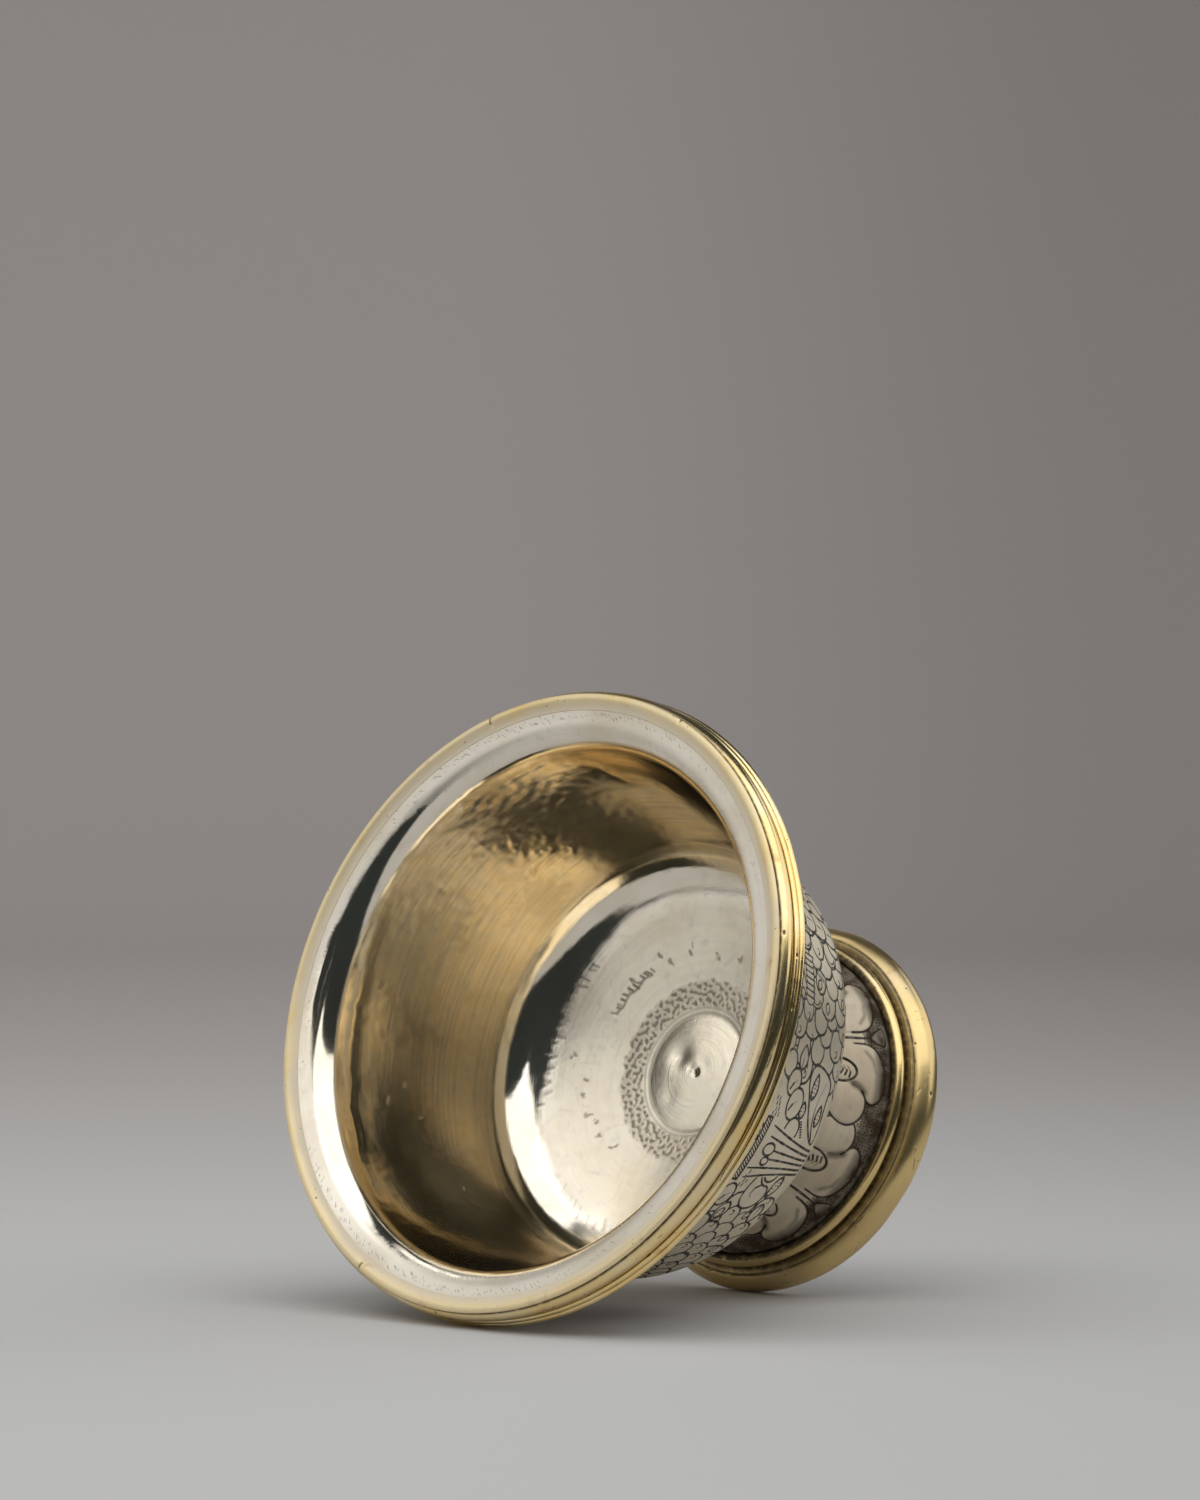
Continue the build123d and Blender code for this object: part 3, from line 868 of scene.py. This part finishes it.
groove, level = mouth_radius + lip_width + reed_depth, band_top
stretches, grooves = [], []
for height, swell in rim_reeds:
    crest = groove + swell + (level - height / 2) * 1j
    last = groove + reed_splay + (level - height) * 1j
    stretches += through(groove + level * 1j, crest, last, 0.11)
    groove, level = groove + reed_splay, level - height - reed_groove
    grooves.append(last)
    stretches.append(straight(last, groove + level * 1j, 0.06))
corners = [groove + level * 1j, band_inner + level * 1j, band_inner + 66.3j, rebate_radius + 66.63j,
           rebate_radius + band_top * 1j, mouth_radius + lip_width + reed_depth + band_top * 1j]
exposed = np.concatenate(stretches)
hidden = np.concatenate([straight(a, b, 0.5) for a, b in zip(corners, corners[1:])])
band_work = Worked(lengths(exposed), exposed.real, rim_round)
pits(band_work, 90, (0.3, 6.5), (0.2, 0.5))
scratches(band_work, 60, (0.4, 6.2), (0.8, 6.0), 7, (0.08, 0.2))
band_turn, band_along = band_work.turn[None], band_work.along[:, None]
band_work.relief += (0.02 * ripple(band_turn, band_along, rim_radius, 14.0)
                     + 0.006 * ripple(band_turn, band_along, rim_radius, 4.0))
groove_dark = np.max([bell(abs(exposed - g), 0.22) for g in grooves + [exposed[0]]], 0)
band_rings = rings(exposed, sunk(band_work, 0.07), left_of(exposed))
plain_marks = {"along": 20.0, "cut": Worked.untouched, "groove": 0.6}
rim_moulding = spin("rim_moulding_gilt", [
    (band_rings, gilt_marks(band_work, groove_dark)),
    (even_rings(hidden, rim_round), plain_marks)], closed=True)

gilt_bright, gilt_pale = (0.90, 0.68, 0.31, 1), (0.94, 0.79, 0.50, 1)
gilt_red, gilt_brown = (0.62, 0.37, 0.18, 1), (0.40, 0.28, 0.14, 1)
groove_brown = (0.045, 0.032, 0.012, 1)


def gilt_finish(name, polish, pale, tarnished, groove_strength):
    """Old gilding on silver: paler in clouds where it is rubbed, redder in spots where it is worn,
    silver where it is bare, with dirt left in the grooves and pits, and painted shade in the recesses
    marked on the foot bead and ring."""
    look = Finish(name)
    clouds = look.grain(110.0, 4.0)
    spots = look.grain(700.0, 3.0)
    drawn = look.grain(1.0, 3.0, look.around(50.0, 7.0))
    fine_lines = look.grain(1.0, 2.0, look.around(140.0, 22.0))
    body = look.mix(look.fade(clouds, 0.62 - pale, 1.0 - pale), gilt_bright, gilt_pale)
    worn = look.fade(look.grain(190.0, 5.0), 0.6, 0.72)
    red = look.sum("MULTIPLY", worn, look.fade(spots, 0.35, 0.6, 0.1, 0.7))
    body = look.mix(red, body, gilt_red)
    body = look.mix(look.fade(clouds, 0.3, 0.7, 0.5 * tarnished, tarnished), body, gilt_brown)
    bare = look.mark("bare")
    body = look.mix(look.sum("MULTIPLY", bare, 0.85), body, silver_white)
    cut = look.fade(look.mark("cut"), 0.05, -0.05, 0.0, 0.85)
    groove = look.mark("groove")
    patchy = look.fade(spots, 0.3, 0.55, groove_strength * 0.6, groove_strength)
    groove = look.sum("MULTIPLY", groove, patchy)
    dirt_and_shade = look.sum("MAXIMUM", cut, groove)
    body = look.mix(dirt_and_shade, body, groove_brown)
    rough = look.sum("MULTIPLY_ADD", drawn, 0.12, polish)
    rough = look.sum("MULTIPLY_ADD", clouds, 0.12, rough)
    rough = look.sum("MULTIPLY_ADD", bare, 0.2, rough)
    rough = look.sum("MULTIPLY_ADD", dirt_and_shade, 0.3, rough)
    tooth = look.bump(fine_lines, 0.00001, 0.5)
    tooth = look.bump(spots, 0.00003, 0.3, tooth)
    look.set(look.shader, Base_Color=body, Roughness=rough, Normal=tooth,
             Metallic=look.fade(dirt_and_shade, 0.2, 0.95, 1.0, 0.4))
    return look.material


rim_moulding.data.materials.append(gilt_finish("worn_gilt", 0.07, 0.25, 0.08, 0.9))
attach(rim_moulding, "root")
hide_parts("rim_moulding")

# Rim bead: a wire of silver gilt soldered over the sheet's cut edge at the mouth and burnished flat
# onto the lip inside. It takes the most handling, so it is pale and matt, and knocks have nicked it.
bead_middle, bead_wide, bead_tall = 49.2 + 67.88j, 0.75, 0.38
bead_angles = np.linspace(-pi / 2, pi / 2, 18)
bead_outside = bead_middle + bead_wide * np.cos(bead_angles) + 1j * bead_tall * np.sin(bead_angles)
slope_start, slope_leave = 49.2 + 68.26j, 48.75 + 68.26j
slope_reach, slope_end = 48.3 + 67.72j, 47.3 + 67.52j
share = np.linspace(0, 1, 17)[1:]
bead_slope = ((1 - share) ** 3 * slope_start + 3 * (1 - share) ** 2 * share * slope_leave
              + 3 * (1 - share) * share**2 * slope_reach + share**3 * slope_end)
bead_line = np.r_[bead_outside, bead_slope]
bead_under = np.r_[straight(47.35 + 67.3j, 48.4 + 67.42j, 0.3), 48.4 + 67.42j]
bead_out = -left_of(bead_line)
bead_work = Worked(lengths(bead_line), bead_line.real, rim_round)
bead_top, bead_radius = bead_work.along[len(bead_outside) - 1], 49.0
nick = np.array([-0.9j, 0.9j])
for angle, along in ((131.2, bead_top), (84.0, 0.8), (-100.0, bead_top)):
    bead_work.press(seen(angle), along, nick, 0.16, 0.28)
    bead_work.stroke(seen(angle), along, nick * 0.6, 0.3, 0.7)
pits(bead_work, 70, (0.2, 4.0), (0.14, 0.3))
bead_work.relief += 0.01 * ripple(bead_work.turn[None], bead_work.along[:, None], bead_radius, 9.0)
bead_lift = sunk(bead_work, 0.05) * ease(bead_work.along[-1] - bead_work.along, 0.0, 0.4)[:, None]
seam_dark = 1 - ease(bead_work.along, 0.05, 0.4)
thin_gold = (1 - ease(bead_line.real, 47.7, 49.2))[:, None]
thin_gold = thin_gold + 0.12 * ripple(bead_work.turn[None], level_line, bead_radius, 8.0)
bead_marks = gilt_marks(bead_work, seam_dark, bare=np.clip(thin_gold, 0, 1))
under_marks = {"along": 10.0, "cut": Worked.untouched, "groove": 0.5, "bare": 0.0}
rim_bead = spin("rim_bead_gilt", [
    (rings(bead_line, bead_lift, bead_out), bead_marks),
    (even_rings(bead_under, rim_round), under_marks)], closed=True)
rim_bead.data.materials.append(gilt_finish("rubbed_gilt", 0.45, 0.45, 0.0, 0.9))
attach(rim_bead, "root")
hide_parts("rim_bead")

# Foot skirt: a second sheet raised to a flared, hollow foot. Five lotus petals are worked up from the
# back, each of two outer and two inner lobes with curls behind, and chased and blackened in front.
# Next to the foot bead it is darkened with painted shade and a painted reflection of the bead, and some
# dirt.
foot_sheet, neck_radius, waist_pinch = 1.0, 19.2, 1.7
skirt_radius, skirt_lift, skirt_top = 25.2, 0.4, 7.9
petal_count, petal_swell = 5, 0.4
skirt_round, hollow_round = 1536, 384
neck = neck_radius + 25.66j
flare_end = skirt_radius + skirt_top * 1j
flare_way = (flare_end - neck) / abs(flare_end - neck)
flare_middle = (neck + flare_end) / 2 + waist_pinch * flare_way * -1j
flare = np.concatenate(through(neck, flare_middle, flare_end, 0.15))
flare_out = left_of(flare)
petals = Worked(lengths(flare), flare.real, skirt_round)
flare_length = petals.along[-1]
petal_place = 14.0  # along the flare, where each petal's outlines are laid out from


def on_flare(places, hand):
    """Degrees from a petal's middle and distances along the flare, as a path about petal_place."""
    degrees_off, along = np.array(places).T
    radius = np.interp(along, petals.along, petals.radius)
    return hand * np.radians(degrees_off) * radius + 1j * (along - petal_place)


def chase(turn, hand, places, width, tail):
    """A chased line on one hand of a petal."""
    petals.stroke(turn, petal_place, on_flare(places, hand), width, tail)


outer_front = [
    (33.4, 13.6), (33.4, 15.6), (31.6, 17.0), (27.0, 18.0), (21.0, 18.6), (15.5, 18.65), (11.3, 18.2),
    (8.9, 17.3), (8.6, 16.4), (10.2, 15.6), (13.0, 15.2)]
outer_back = [(15.2, 13.6), (16.2, 10.0), (17.4, 6.0), (18.0, 2.0), (35.0, 2.0), (34.8, 8.0)]
inner_front = [
    (13.4, 15.0), (10.2, 15.8), (6.0, 16.0), (1.8, 15.5), (-1.4, 14.3), (-2.2, 12.8), (-1.0, 11.2),
    (1.6, 9.8), (4.6, 8.0)]
inner_back = [(7.0, 5.0), (13.0, 5.0), (15.4, 9.0), (15.4, 13.0)]
curl_edge = [
    (24.4, 6.5), (26.2, 9.4), (25.6, 12.0), (22.6, 13.7), (18.6, 13.7), (15.8, 12.0), (15.6, 9.4),
    (17.2, 6.5)]
sepal_edge = [(36.0, 16.4), (33.6, 17.4), (31.6, 19.0), (40.4, 19.0), (38.4, 17.4)]
ground_pitch, ground_radius = 0.5, 24.5  # rows of punch marks behind the petals
for turn in np.arange(0, tau, ground_pitch / ground_radius):
    for along in np.arange(15.6, flare_length - 0.2, ground_pitch):
        petals.dots(turn + chance.uniform(-0.006, 0.006), along + chance.uniform(-0.1, 0.1), [0j], 0.26)
petal_line = 0.36
lobe_kinds = (outer_front, outer_back, 3.6, (1, -1)), (inner_front, inner_back, 2.6, (-1, 1))
for turn in np.arange(petal_count) * tau / petal_count:
    petals.shape(turn, petal_place, smooth(on_flare(sepal_edge, 1), 1), 0.24, 0.12, 1.0)
    for front, behind, bulge, hands in lobe_kinds:
        for hand in hands:
            brim = smooth(on_flare(front, hand), 2, False)
            outline = np.r_[brim, on_flare(behind, hand)]
            petals.shape(turn, petal_place, outline, petal_line, petal_swell, bulge, brim)
    for hand in (1, -1):
        twist = smooth(on_flare(curl_edge, hand), 2, False)
        petals.shape(turn, petal_place, twist, petal_line, 0.3, 1.4, twist)
        for share in np.linspace(0, 1, 4):
            hatch = [(18.0 + 1.4 * share, 12.4 - 2.4 * share), (20.2 + 1.2 * share, 12.6 - 2.0 * share),
                     (22.6, 12.0 - 2.2 * share)]
            chase(turn, hand, hatch, 0.34, 0.4)
        corner = on_flare([(13.0, 15.2), (14.6, 14.4), (15.6, 13.4)], hand)
        petals.press(turn, petal_place, corner, 0.15, 0.5, 0.8)
        crease = on_flare([(29.5, 15.4), (26.0, 16.6), (21.5, 17.0)], hand)
        petals.press(turn, petal_place, crease, 0.05, 0.35, 0.35)
        chase(turn, hand, [(36.0, 1.0), (36.0, 10.0), (36.0, 16.4)], 0.26, 1.0)
        for share in np.linspace(0.15, 0.9, 5):
            chase(turn, hand, [(14.0 * share, 1.0), (10.5 * share, 5.2 - 1.6 * share)], 0.24, 0.3)
        for share in (0.3, 0.6, 0.9):
            chase(turn, hand, [(34.0 - 4 * share, 1.2), (33.6 - 3 * share, 4.6 - 1.5 * share)], 0.2, 0.3)
lobes_up = ease(petals.relief, 0.03, 0.2)
petals.relief *= ease(petals.along[:, None], 4.0, 12.5)
petals.relief += 0.012 * ripple(petals.turn[None], petals.along[:, None], 22.0, 6.0)
ground = (1 - lobes_up) * ease(petals.along[:, None], 15.4, 16.4)
# Painted shade and a painted dark reflection of the foot bead, with some dirt: the skirt is made near black
# over its last 2.6 mm before the bead
shade_by_bead = ease(petals.along[:, None], flare_length - 2.6, flare_length - 0.7)
ground = np.maximum(0.93 * ground, 0.97 * shade_by_bead)
skirt_rings = rings(flare, petals.relief - cut_depth(petals.cut, 0.08), flare_out)
skirt_stain = np.maximum(petals.stain, ground)
skirt_marks = unmarked(petals.along, cut=petals.cut, stain=skirt_stain, gilt=0.1, matt=0.8)
lower = straight(flare_end, skirt_radius + skirt_lift * 1j, 0.7)
back = np.round(np.linspace(len(flare) - 1, 0, 20)).astype(int)
hollow = np.r_[skirt_radius - foot_sheet + skirt_lift * 1j, flare[back] - foot_sheet * flare_out[back]]
edge_ring = np.full((1, skirt_round), skirt_radius + skirt_lift * 1j)
# Painted shade: the skirt's edge below the bead is made as dark as the skirt next to the bead
foot_skirt = spin("foot_skirt_petals", [
    (skirt_rings, skirt_marks),
    (even_rings(lower, skirt_round), unmarked(20 + lengths(lower), stain=0.97)),
    (edge_ring, unmarked(np.full(1, 28.0), stain=0.3)),
    (even_rings(hollow, hollow_round), unmarked(30 + lengths(hollow), stain=0.2))], closed=True)
foot_skirt.data.materials.append(silver_finish("chased_silver", 0.92, 0.0, (0.05, 0.03, 0.012, 1)))
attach(foot_skirt, "root")
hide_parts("foot_skirt")

# Foot bead: a stouter round wire of silver gilt, soldered into the corner between the petals and the
# foot ring. Its gilding is browned and pitted, and its sides above and below, turned into the corners,
# are darkened with painted shade.
foot_wire, foot_wire_centre = 2.1, 26.3 + 6.85j
foot_round = 768
foot_bead_line = foot_wire_centre + foot_wire / 2 * np.exp(1j * np.arange(42) * tau / 42)
foot_bead_out = (foot_bead_line - foot_wire_centre) / (foot_wire / 2)
foot_bead_work = Worked(lengths(foot_bead_line), foot_bead_line.real, foot_round)
pits(foot_bead_work, 40, (0.2, 3.2), (0.2, 0.4))
foot_bead_work.relief += 0.02 * ripple(foot_bead_work.turn[None], foot_bead_work.along[:, None], 26.0, 9.0)
foot_bead_rings = rings(foot_bead_line, sunk(foot_bead_work, 0.05), foot_bead_out)
facing = np.angle(foot_bead_out)
# Painted shade: the bead is made dark on its sides that turn in towards the petals and the foot ring
bead_recess_shade = np.maximum(ease(facing, 0.95, 1.5), ease(-facing, 0.55, 1.2))
foot_bead_marks = gilt_marks(foot_bead_work, bead_recess_shade)
foot_bead = spin("foot_bead_gilt", [(foot_bead_rings, foot_bead_marks)], closed=True)
foot_bead.data.materials.append(gilt_finish("foot_gilt", 0.1, 0.15, 0.25, 0.97))
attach(foot_bead, "root")
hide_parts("foot_bead")

# Foot ring: a swelling moulding of silver gilt with a flat sole, slipped over the skirt's lower
# edge and soldered. The bowl stands on it, so its gilding is browned, pitted and scratched.
ring_bore, ring_height, ring_sole = 25.25, 5.75, 2.7
ring_swell, ring_swell_height, ring_fillet, ring_shoulder = 30.3, 3.0, 0.35, 28.2
sole_edge = ring_bore + ring_sole + 0j
shoulder = ring_shoulder + (ring_height - ring_fillet) * 1j
ring_face = np.concatenate(through(sole_edge, ring_swell + ring_swell_height * 1j, shoulder, 0.15))
ring_corners = [shoulder, ring_shoulder + ring_height * 1j, ring_bore + ring_height * 1j, ring_bore + 0j,
                sole_edge]
ring_rest = np.concatenate([straight(a, b, 0.3) for a, b in zip(ring_corners, ring_corners[1:])])
ring_work = Worked(lengths(ring_face), ring_face.real, foot_round)
pits(ring_work, 70, (0.3, 8.5), (0.2, 0.45))
scratches(ring_work, 50, (0.5, 8.0), (0.8, 4.0), 25, (0.08, 0.18))
ring_work.relief += 0.035 * ripple(ring_work.turn[None], ring_work.along[:, None], 30.0, 12.0)
ring_rings = rings(ring_face, sunk(ring_work, 0.06), -left_of(ring_face))
# Painted shade in the recess under the foot bead: the top end of the swell and the faces beyond it are made
# dark, darkest towards the bore
ring_recess_shade = ease(ring_work.along, ring_work.along[-1] - 0.35, ring_work.along[-1])
rest_recess_shade = 0.6 + 0.38 * (1 - ease(ring_rest.real, 27.1, 27.9))
rest_marks = {"along": 15.0, "cut": Worked.untouched, "groove": rest_recess_shade[:, None]}
foot_ring = spin("foot_ring_gilt", [
    (ring_rings, gilt_marks(ring_work, ring_recess_shade)),
    (even_rings(ring_rest, foot_round), rest_marks)], closed=True)
foot_ring.data.materials.append(gilt_finish("ring_gilt", 0.18, 0.15, 0.4, 0.95))
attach(foot_ring, "root")
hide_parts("foot_ring")

# Studio: the bowl lies on its side, its rim and its foot ring both on the table. The table, lights
# and camera are placed in the room's own axes, right, away and up, and carried into the bowl's.
rest_tilt = radians(18.84)  # the bowl's axis over the table
rest_heading = radians(-131.85)  # the axis, from the room's right towards the camera
rest_side = radians(134.4)  # side of the bowl that lies on the table
rest_height, rest_right, rest_away = 27.96, 31.34, 1287.79  # middle of the sole, in the room
axis = Vector((cos(rest_heading) * cos(rest_tilt), sin(rest_heading) * cos(rest_tilt), sin(rest_tilt)))
downward = (axis * sin(rest_tilt) - Vector((0, 0, 1))) / cos(rest_tilt)
bowl_down = Vector((cos(rest_side), sin(rest_side), 0))
room_frame = Matrix((downward, axis.cross(downward), axis)).transposed()
bowl_frame = Matrix((bowl_down, Vector((0, 0, 1)).cross(bowl_down), Vector((0, 0, 1)))).transposed()
turn_in = (bowl_frame @ room_frame.transposed()).to_4x4()
sole_in_room = Vector((rest_right, rest_away, rest_height)) * MM
room = turn_in @ Matrix.Translation(-sole_in_room)


def in_room(thing, place, toward):
    """Puts a light or the camera at a place in the room, in metres, facing a point there."""
    facing_way = (Vector(toward) - Vector(place)).to_track_quat("-Z", "Y").to_matrix().to_4x4()
    thing.matrix_world = room @ Matrix.Translation(place) @ facing_way


# Table top and backdrop: one sheet of pale grey paper that sweeps up behind
table_left, table_right, table_front = -0.9, 0.30, 1.0
sweep_start, sweep_round, sweep_top = 2.05, 0.35, 1.6
sweep = [(table_front + (sweep_start - table_front) * k / 40, 0.0) for k in range(40)]
sweep += [(sweep_start + sweep_round * sin(a), sweep_round * (1 - cos(a)))
          for a in np.linspace(0, pi / 2, 24)]
sweep += [(sweep_start + sweep_round, sweep_top)]
paper_mesh = bpy.data.meshes.new("paper_sweep")
paper_mesh.from_pydata(
    [(x, y, z) for y, z in sweep for x in (table_left, table_right)], [],
    [(2 * k, 2 * k + 1, 2 * k + 3, 2 * k + 2) for k in range(len(sweep) - 1)])
paper_mesh.shade_smooth()
paper = bpy.data.objects.new("paper_sweep", paper_mesh)
bpy.context.scene.collection.objects.link(paper)
paper.matrix_world = room
look = Finish("grey_paper")
place = look.node("SeparateXYZ", None, n0=look.node("TexCoord").outputs["Object"]).outputs
near_grey, far_shade_grey = (0.62, 0.615, 0.61, 1), (0.52, 0.478, 0.458, 1)
shade_grey, fibre_grey = (0.20, 0.19, 0.185, 1), (0.5, 0.5, 0.5, 1)
# Painted shade: the paper is made darker towards the back, and darker to the right of the bowl, most towards
# the back, over the fall-off the lamps give
tone = look.mix(look.fade(place[1], 1.25, 1.85), near_grey, far_shade_grey)
in_shade = look.sum("MULTIPLY", look.fade(place[0], -0.05, 0.17), look.fade(place[1], 1.15, 1.8, 0.15, 0.4))
tone = look.mix(in_shade, tone, shade_grey)
fibre = look.grain(900.0, 4.0)
tone = look.mix(look.fade(fibre, 0.3, 0.7, 0.0, 0.05), tone, fibre_grey)
look.set(look.shader, Base_Color=tone, Roughness=0.8, Normal=look.bump(fibre, 0.0001, 0.1))
clear = look.node("BsdfTransparent")
either = look.node("MixShader", None, Fac=look.node("NewGeometry").outputs["Backfacing"])
look.set(either, n1=look.shader.outputs[0], n2=clear.outputs[0])
look.set(look.tree.nodes["Material Output"], Surface=either.outputs[0])
paper.data.materials.append(look.material)


def soft_box(name, place, toward, width, height, radiance):
    """A rectangle of light in the room, as bright as white paper in full light at a radiance of 1."""
    lamp_data = bpy.data.lights.new(name, "AREA")
    lamp_data.shape, lamp_data.size, lamp_data.size_y = "RECTANGLE", width, height
    lamp_data.energy = 4 * radiance * width * height
    lamp = bpy.data.objects.new(name, lamp_data)
    bpy.context.scene.collection.objects.link(lamp)
    in_room(lamp, place, toward)
    lamp.visible_camera = False


# Soft boxes round the bowl: one overhead towards the camera, one low on the right, and a white sheet
# on the left whose upper part is brighter towards the camera and dimmer towards the back
bowl_middle = Vector((0.005, 1.255, 0.045))
for name, azimuth, elevation, away, width, height, radiance in (
        ("top_box", 165, 69, 0.95, 1.8, 1.06, 1.17),
        ("right_box", 72, 27, 0.9, 1.15, 0.58, 0.85),
        ("left_sheet", -80, 13, 0.9, 1.6, 0.46, 0.5),
        ("left_sheet_front", -107, 38, 0.9, 0.5, 0.44, 0.84),
        ("left_sheet_back", -62, 43, 0.9, 0.74, 0.5, 0.26)):
    heading, rise = radians(azimuth), radians(elevation)
    out = Vector((sin(heading) * cos(rise), cos(heading) * cos(rise), sin(rise)))
    soft_box(name, bowl_middle + out * away, bowl_middle, width, height, radiance)
soft_box("back_wash", Vector((-0.6, 1.7, 1.1)), Vector((-0.25, 2.4, 0.3)), 0.6, 0.4, 0.9)

# Room: dark round the table, and plain grey where a camera looks past it
world = bpy.data.worlds.new("dim_room")
bpy.context.scene.world = world
world.use_nodes = True
nodes, links = world.node_tree.nodes, world.node_tree.links
nodes.clear()
glow = nodes.new("ShaderNodeBackground")
tones = nodes.new("ShaderNodeMix")
tones.data_type = "RGBA"
tones.inputs[6].default_value = (0.03, 0.035, 0.035, 1)
tones.inputs[7].default_value = (0.42, 0.41, 0.40, 1)
links.new(nodes.new("ShaderNodeLightPath").outputs["Is Camera Ray"], tones.inputs["Factor"])
links.new(tones.outputs[2], glow.inputs["Color"])
links.new(glow.outputs[0], nodes.new("ShaderNodeOutputWorld").inputs["Surface"])

# Camera: long lens, a little above the table
camera_height, camera_dip, camera_lens = 0.14672, radians(2.672), 192.0
camera_data = bpy.data.cameras.new("camera")
camera_data.lens, camera_data.sensor_width = camera_lens, 36.0
camera_data.clip_start, camera_data.clip_end = 0.05, 20.0
camera = bpy.data.objects.new("camera", camera_data)
bpy.context.scene.collection.objects.link(camera)
camera_place = Vector((0, 0, camera_height))
in_room(camera, camera_place, camera_place + Vector((0, cos(camera_dip), -sin(camera_dip))))
bpy.context.scene.camera = camera
bpy.context.scene.view_settings.view_transform = "Standard"
